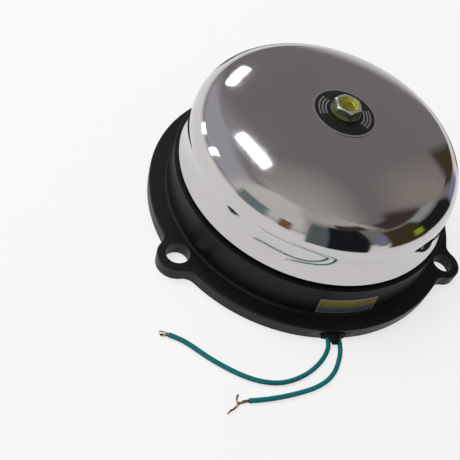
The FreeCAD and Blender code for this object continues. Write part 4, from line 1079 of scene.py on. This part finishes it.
@record
class Gong:
    """Spun bell made again from its arcs, with the disc, washer and bolt on its crown."""

    crown_radius: float = 225.0 * MM
    shoulder_radius: float = 17.0 * MM
    bulge_radius: float = 72.6 * MM
    neck_radius: float = 32.0 * MM
    lip_radius: float = 75.0 * MM
    lip_height: float = 29.4 * MM
    thickness: float = 1.4 * MM
    bore: float = 4.3 * MM
    segments: int = 288
    crown_step: float = math.radians(0.7)
    shoulder_step: float = math.radians(1.5)
    neck_step: float = math.radians(4)
    edge_step: float = math.radians(20)
    # share of the bolt's radius where its painted highlight ring begins
    highlight_ring_from: float = 0.8
    bolt_angle: float = math.radians(25)

    def section(self) -> list[Pair]:
        """Draw the section through the wall.

        Returns:
            Closed outline of (radius, height): outside down to the lip, then inside back up.
        """
        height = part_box("gong")[1].z + (self.crown_radius - math.sqrt(self.crown_radius ** 2 - self.bore ** 2))
        crown = (0.0, height - self.crown_radius)
        across = self.bulge_radius - self.shoulder_radius
        shoulder = (across, crown[1] + math.sqrt((self.crown_radius - self.shoulder_radius) ** 2 - across ** 2))
        span = math.dist(shoulder, (self.lip_radius, self.lip_height))
        reach = self.shoulder_radius + self.neck_radius
        opening = math.acos((reach ** 2 + span ** 2 - self.neck_radius ** 2) / (2 * reach * span))
        heading = math.atan2(self.lip_height - shoulder[1], self.lip_radius - shoulder[0]) + opening
        neck = (shoulder[0] + reach * math.cos(heading), shoulder[1] + reach * math.sin(heading))
        top = math.atan2(shoulder[1] - crown[1], shoulder[0])
        end = math.atan2(self.lip_height - neck[1], self.lip_radius - neck[0]) % math.tau

        def side(inset: float) -> list[Pair]:
            """Draw one face of the wall.

            Args:
                inset: how far it lies inside the outer face.

            Returns:
                Its points, from the bore to the lip.
            """
            crown_face = self.crown_radius - inset
            points = arc_points(crown, crown_face, math.acos(self.bore / crown_face), top, self.crown_step)
            points += arc_points(shoulder, self.shoulder_radius - inset, top, heading, self.shoulder_step)[1:]
            return points + arc_points(neck, self.neck_radius + inset, heading + math.pi, end,
                                       self.neck_step)[1:]

        outside, inside = side(0.0), side(self.thickness)
        edge = arc_points(((outside[-1][0] + inside[-1][0]) / 2, (outside[-1][1] + inside[-1][1]) / 2),
                          self.thickness / 2, end, end - math.pi, self.edge_step)[1:-1]
        return outside + edge + inside[::-1]

    def build(self) -> None:
        """Turn the section round the bolt's axis and dress its seat."""
        finish = PolishedGong("polished_gong", "bright_gong")
        turning = Recipe("gong_turning", finish, **{"Bore Radius": self.bore, "Steps Round": self.segments})
        section = turning.node("GeometryNodeMeshToCurve", None, turning.given())
        ring = turning.node("GeometryNodeCurvePrimitiveCircle", None, Resolution=turning.given("Steps Round"),
                            Radius=turning.given("Bore Radius"))
        places = [Vector((radius - self.bore, -height, 0.0)) for radius, height in self.section()]
        edges = [(index, (index + 1) % len(places)) for index in range(len(places))]
        bell = turning.make("bell", turning.node("GeometryNodeCurveToMesh", None, ring, section), places, edges)
        fitted(bell, finish, "gong")
        disc = PrintedDisc("printed_disc_face", "printed_disc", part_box("label_disc")[1].x)
        refined("crown_disc", "label_disc", disc)
        refined("crown_washer", "gong_washer", YELLOW_ZINC)
        # the bolt's top face gets a painted highlight ring from this radius outward
        bolt = BoltHead("bolt_passivate", "yellow_zinc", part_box("gong_bolt")[1].x * self.highlight_ring_from)
        refined("crown_bolt", "gong_bolt", bolt, self.bolt_angle)


# ---- mechanism
@record
class Screws:
    """Slotted screws of one kind, set where the frame has their plain blanks.

    The head's height, the root of the thread, the foot and the slot's cutter are shares of the shank.
    """

    name: str
    node: str
    out: Triple
    shank: float = 1.5 * MM
    head: float = 0.0
    pitch: float = 0.5 * MM
    slot: float = 0.7 * MM
    seed: int = 3
    rise: float = 1.2
    root: float = 0.84
    foot: float = 0.45
    plain_end: float = 0.6
    cutter: float = 1.43
    chamfer: float = 0.3 * MM
    weld: float = 0.002 * MM
    segments: int = 32

    def blank(self, length: float) -> Piece:
        """Turn one screw.

        Args:
            length: the whole screw, head included.

        Returns:
            The screw, its top on the origin and its shank below.
        """
        rise = self.rise * self.shank if self.head else 0.0
        dome = ((0.6, 0.02), (0.86, 0.12), (0.97, 0.3), (1.0, 0.5), (1.0, 1.0))
        profile = [(self.head * across, rise * down) for across, down in dome]
        if not self.head:
            profile = [(self.shank * 0.8, 0.0), (self.shank, self.chamfer)]
        profile += thread(self.shank * self.root, self.shank, rise + self.chamfer,
                          length - self.shank * self.plain_end, self.pitch)
        profile = [(0.0, 0.0), *profile, (self.shank * self.foot, length), (0.0, length)]
        return lathe(f"{self.name}_blank", [(across, -down) for across, down in profile], self.segments)

    def build(self) -> None:
        """Cut the slot and set a screw in every seat, each turned at random."""
        out = Vector(self.out)
        boxes = islands(self.node)
        halves = [abs((high - low).dot(out)) / 2 for low, high in boxes]
        seats = [(low + high) / 2 + out * half for (low, high), half in zip(boxes, halves)]
        drawing = Recipe(self.name, BRIGHT_ZINC, **{
            "Blank": self.blank(2 * halves[0]), "Slot Width": self.slot,
            "Slot Length": 3 * max(self.head, self.shank), "Slot Depth": self.cutter * self.shank,
            "Seed": self.seed})
        cutter = drawing.node("GeometryNodeMeshCube", None, drawing.vector(
            *(drawing.given(f"Slot {size}") for size in ("Length", "Width", "Depth"))))
        slotted = drawing.node("GeometryNodeMeshBoolean", {"operation": "DIFFERENCE", "solver": "EXACT"},
                               drawing.solid("Blank"), cutter)
        slotted = drawing.node("GeometryNodeMergeByDistance", None, slotted, None, self.weld)
        chance = drawing.node("FunctionNodeRandomValue", {"data_type": "FLOAT"}, None, None, 0.0, math.pi,
                              out=1, Seed=drawing.given("Seed"))
        stand = drawing.node("FunctionNodeAlignRotationToVector", {"axis": "Z"}, Vector=self.out)
        turn = drawing.node("FunctionNodeRotateRotation", {"rotation_space": "LOCAL"}, stand,
                            drawing.node("FunctionNodeAxisAngleToRotation", None, UP, chance))
        points = drawing.node("GeometryNodeMeshToPoints", None, drawing.given())
        placed = drawing.node("GeometryNodeInstanceOnPoints", None, points, Instance=slotted, Rotation=turn)
        fitted(drawing.make(self.name, placed, seats), BRIGHT_ZINC, self.node)


@record
class Coil:
    """Enamelled wire wound on one bobbin."""

    node: str
    drum: float = 5.5 * MM
    wire: float = 0.2 * MM
    lay: float = 2.05
    steps: int = 20
    segments: int = 48

    def build(self) -> None:
        """Wind the outer layer over a plain core of turns."""
        low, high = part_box(self.node)
        length, wound = high.y - low.y, high.y - low.y - 2 * self.wire
        ring = (high.x - low.x) / 2 - self.wire
        core = lathe(self.node + "_core", [(self.drum, -length / 2), (ring, -length / 2), (ring, length / 2),
                                           (self.drum, length / 2)], self.segments)
        winding = Recipe(self.node + "_turns", ENAMEL, **{
            "Core": core, "Turns": wound / (self.lay * self.wire), "Wire Radius": self.wire,
            "Ring Radius": ring, "Length": wound, "Steps": self.steps})
        path = winding.node("GeometryNodeCurveSpiral", None, Resolution=winding.given("Steps"),
                            Rotations=winding.given("Turns"), Start_Radius=winding.given("Ring Radius"),
                            End_Radius=winding.given("Ring Radius"), Height=winding.given("Length"))
        wire = winding.moved(winding.wire(path, winding.given("Wire Radius")), z=-wound / 2)
        laid = winding.moved(winding.join(winding.solid("Core"), wire), *(low + high) / 2, turn=LAID_DOWN)
        fitted(winding.make(self.node + "_wire", laid), ENAMEL, self.node)


@record
class ContactScrew:
    """Adjusting screw with a pointed tip, a fine thread and a knurled knob."""

    tip: float = 1.2 * MM
    point: float = 1.2 * MM
    knob: float = 2.5 * MM
    crest: float = 2.0 * MM
    root: float = 0.86
    pitch: float = 0.45 * MM
    chamfer: float = 0.3 * MM
    inset: float = 0.22 * MM
    ridge: float = 0.2 * MM
    ridge_end: float = 0.7 * MM
    ridge_sides: int = 8
    ridges: int = 40
    segments: int = 64

    def build(self) -> None:
        """Turn the screw and press the ridges round its knob."""
        low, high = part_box("contact_screw")
        length, grip = high.y - low.y, (high.x - low.x) / 2 - self.inset
        shoulder, root, chamfer = length - self.knob, self.crest * self.root, self.chamfer
        stem = lathe("contact_screw_stem", [
            (0.0, 0.0), (self.point * 0.8, 0.0), (self.point, chamfer), (self.point, self.tip),
            *thread(root, self.crest, self.tip, shoulder, self.pitch),
            (root, shoulder), (grip - chamfer, shoulder), (grip, shoulder + chamfer),
            (grip, length - chamfer), (grip - chamfer, length), (0.0, length)], self.segments)
        drawing = Recipe("contact_screw_turned", BRASS, **{
            "Stem": stem, "Ridges": self.ridges, "Knob Radius": grip, "Ridge Radius": self.ridge,
            "Ridge Length": self.knob - self.ridge_end})
        ring = drawing.node("GeometryNodeMeshCircle", None, Vertices=drawing.given("Ridges"),
                            Radius=drawing.given("Knob Radius"))
        ridge = drawing.node("GeometryNodeMeshCylinder", {"fill_type": "NGON"}, Vertices=self.ridge_sides,
                             Radius=drawing.given("Ridge Radius"), Depth=drawing.given("Ridge Length"))
        ridges = drawing.moved(drawing.node("GeometryNodeInstanceOnPoints", None, ring, Instance=ridge),
                               z=length - self.knob / 2)
        middle = (low + high) / 2
        laid = drawing.moved(drawing.join(drawing.solid("Stem"), ridges), middle.x, low.y, middle.z,
                             turn=LAID_DOWN)
        fitted(drawing.make("contact_screw_turned", laid), BRASS, "contact_screw")


@record
class HingeLeaf:
    """Spring leaf that carries the armature and bends between the clamp and the armature."""

    bend_from: float = -7.0 * MM
    bend_to: float = 0.0
    step: float = 0.5 * MM

    def build(self) -> None:
        """Divide the leaf across its free length, where the real leaf bends."""
        bm = merged("armature_spring")
        for index in range(round((self.bend_to - self.bend_from) / self.step) + 1):
            bmesh.ops.bisect_plane(bm, geom=[*bm.verts, *bm.edges, *bm.faces], dist=1e-7,
                                   plane_co=(self.bend_from + index * self.step, 0, 0), plane_no=(1, 0, 0))
        leaf = fitted(meshed("hinge_leaf", bm), SPRING_STEEL, "armature_spring", rides=False)
        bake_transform(leaf)


MECHANISM = (
    Screws("slotted_frame_screws", "frame_screws", UP, head=2.8 * MM),
    Screws("slotted_core_screws", "core_screws", (0.0, -1.0, 0.0), 2.5 * MM, 4.5 * MM, 0.8 * MM, 1.1 * MM, 5),
    Screws("slotted_clamp_screws", "hinge_clamp_screws", (0.0, 1.0, 0.0), head=2.8 * MM, seed=8),
    Screws("slotted_block_screws", "contact_block_screws", UP, 1.2 * MM, 2.16 * MM, 0.45 * MM, 0.6 * MM, 11),
    Screws("slotted_terminal_screws", "terminal_screws", UP, seed=4),
    Screws("slotted_fixing_screw", "terminal_fixing_screw", UP, head=2.8 * MM, seed=9),
    Coil("coil_winding_near"), Coil("coil_winding_far"), ContactScrew(), HingeLeaf())


class InnerFinish(Enum):
    """Finish of each CAD node that keeps its own shape."""

    ZINC = (BRIGHT_ZINC, ("mechanism_frame", "hinge_clamp", "pillar_screw", "centre_pillar", "armature_rivets",
                          "hammer_rod"))
    IRON = (IRON, ("magnet_yoke", "magnet_core_near", "magnet_core_far", "armature"))
    NYLON = (BOBBIN, ("coil_bobbin_near", "coil_bobbin_far"))
    BLOCK = (TERMINAL, ("terminal_block",))
    BOARD = (PHENOLIC, ("contact_block",))
    STRIP = (SPRING_BRONZE, ("contact_spring",))
    BRASS = (BRASS, ("contact_bracket", "contact_lock_nut", "contact_rivets", "terminal_tubes", "hammer_head"))
    CONTACT = (SILVER, ("contact_button",))
    RUBBER = (BLACK_RUBBER, ("gong_cushion",))
    GREEN = (GREEN_PVC, ("supply_lead_left", "supply_lead_right"))
    BLACK = (BLACK_PVC, ("coil_lead", "coil_link", "frame_lead", "contact_lead"))


def dress_inner_nodes() -> None:
    """Give every CAD node that keeps its own shape its finish."""
    for kind in InnerFinish:
        finish, nodes = kind.value
        for node in nodes:
            piece = bpy.data.objects[node]
            piece.data.materials.clear()
            piece.data.materials.append(finish.material())
            log.info("%s is %s", node, finish.name)


def main() -> None:
    """Build the scene around the frame."""
    logging.basicConfig(level=logging.INFO, format="%(message)s")
    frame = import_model()
    log.info("bodies: %s", ", ".join(frame["bodies"]))
    for assembly in (Shot(), *LEADS, Studio(), Housing(), Gong(), *MECHANISM):
        assembly.build()
    dress_inner_nodes()


if __name__ == "__main__":
    main()
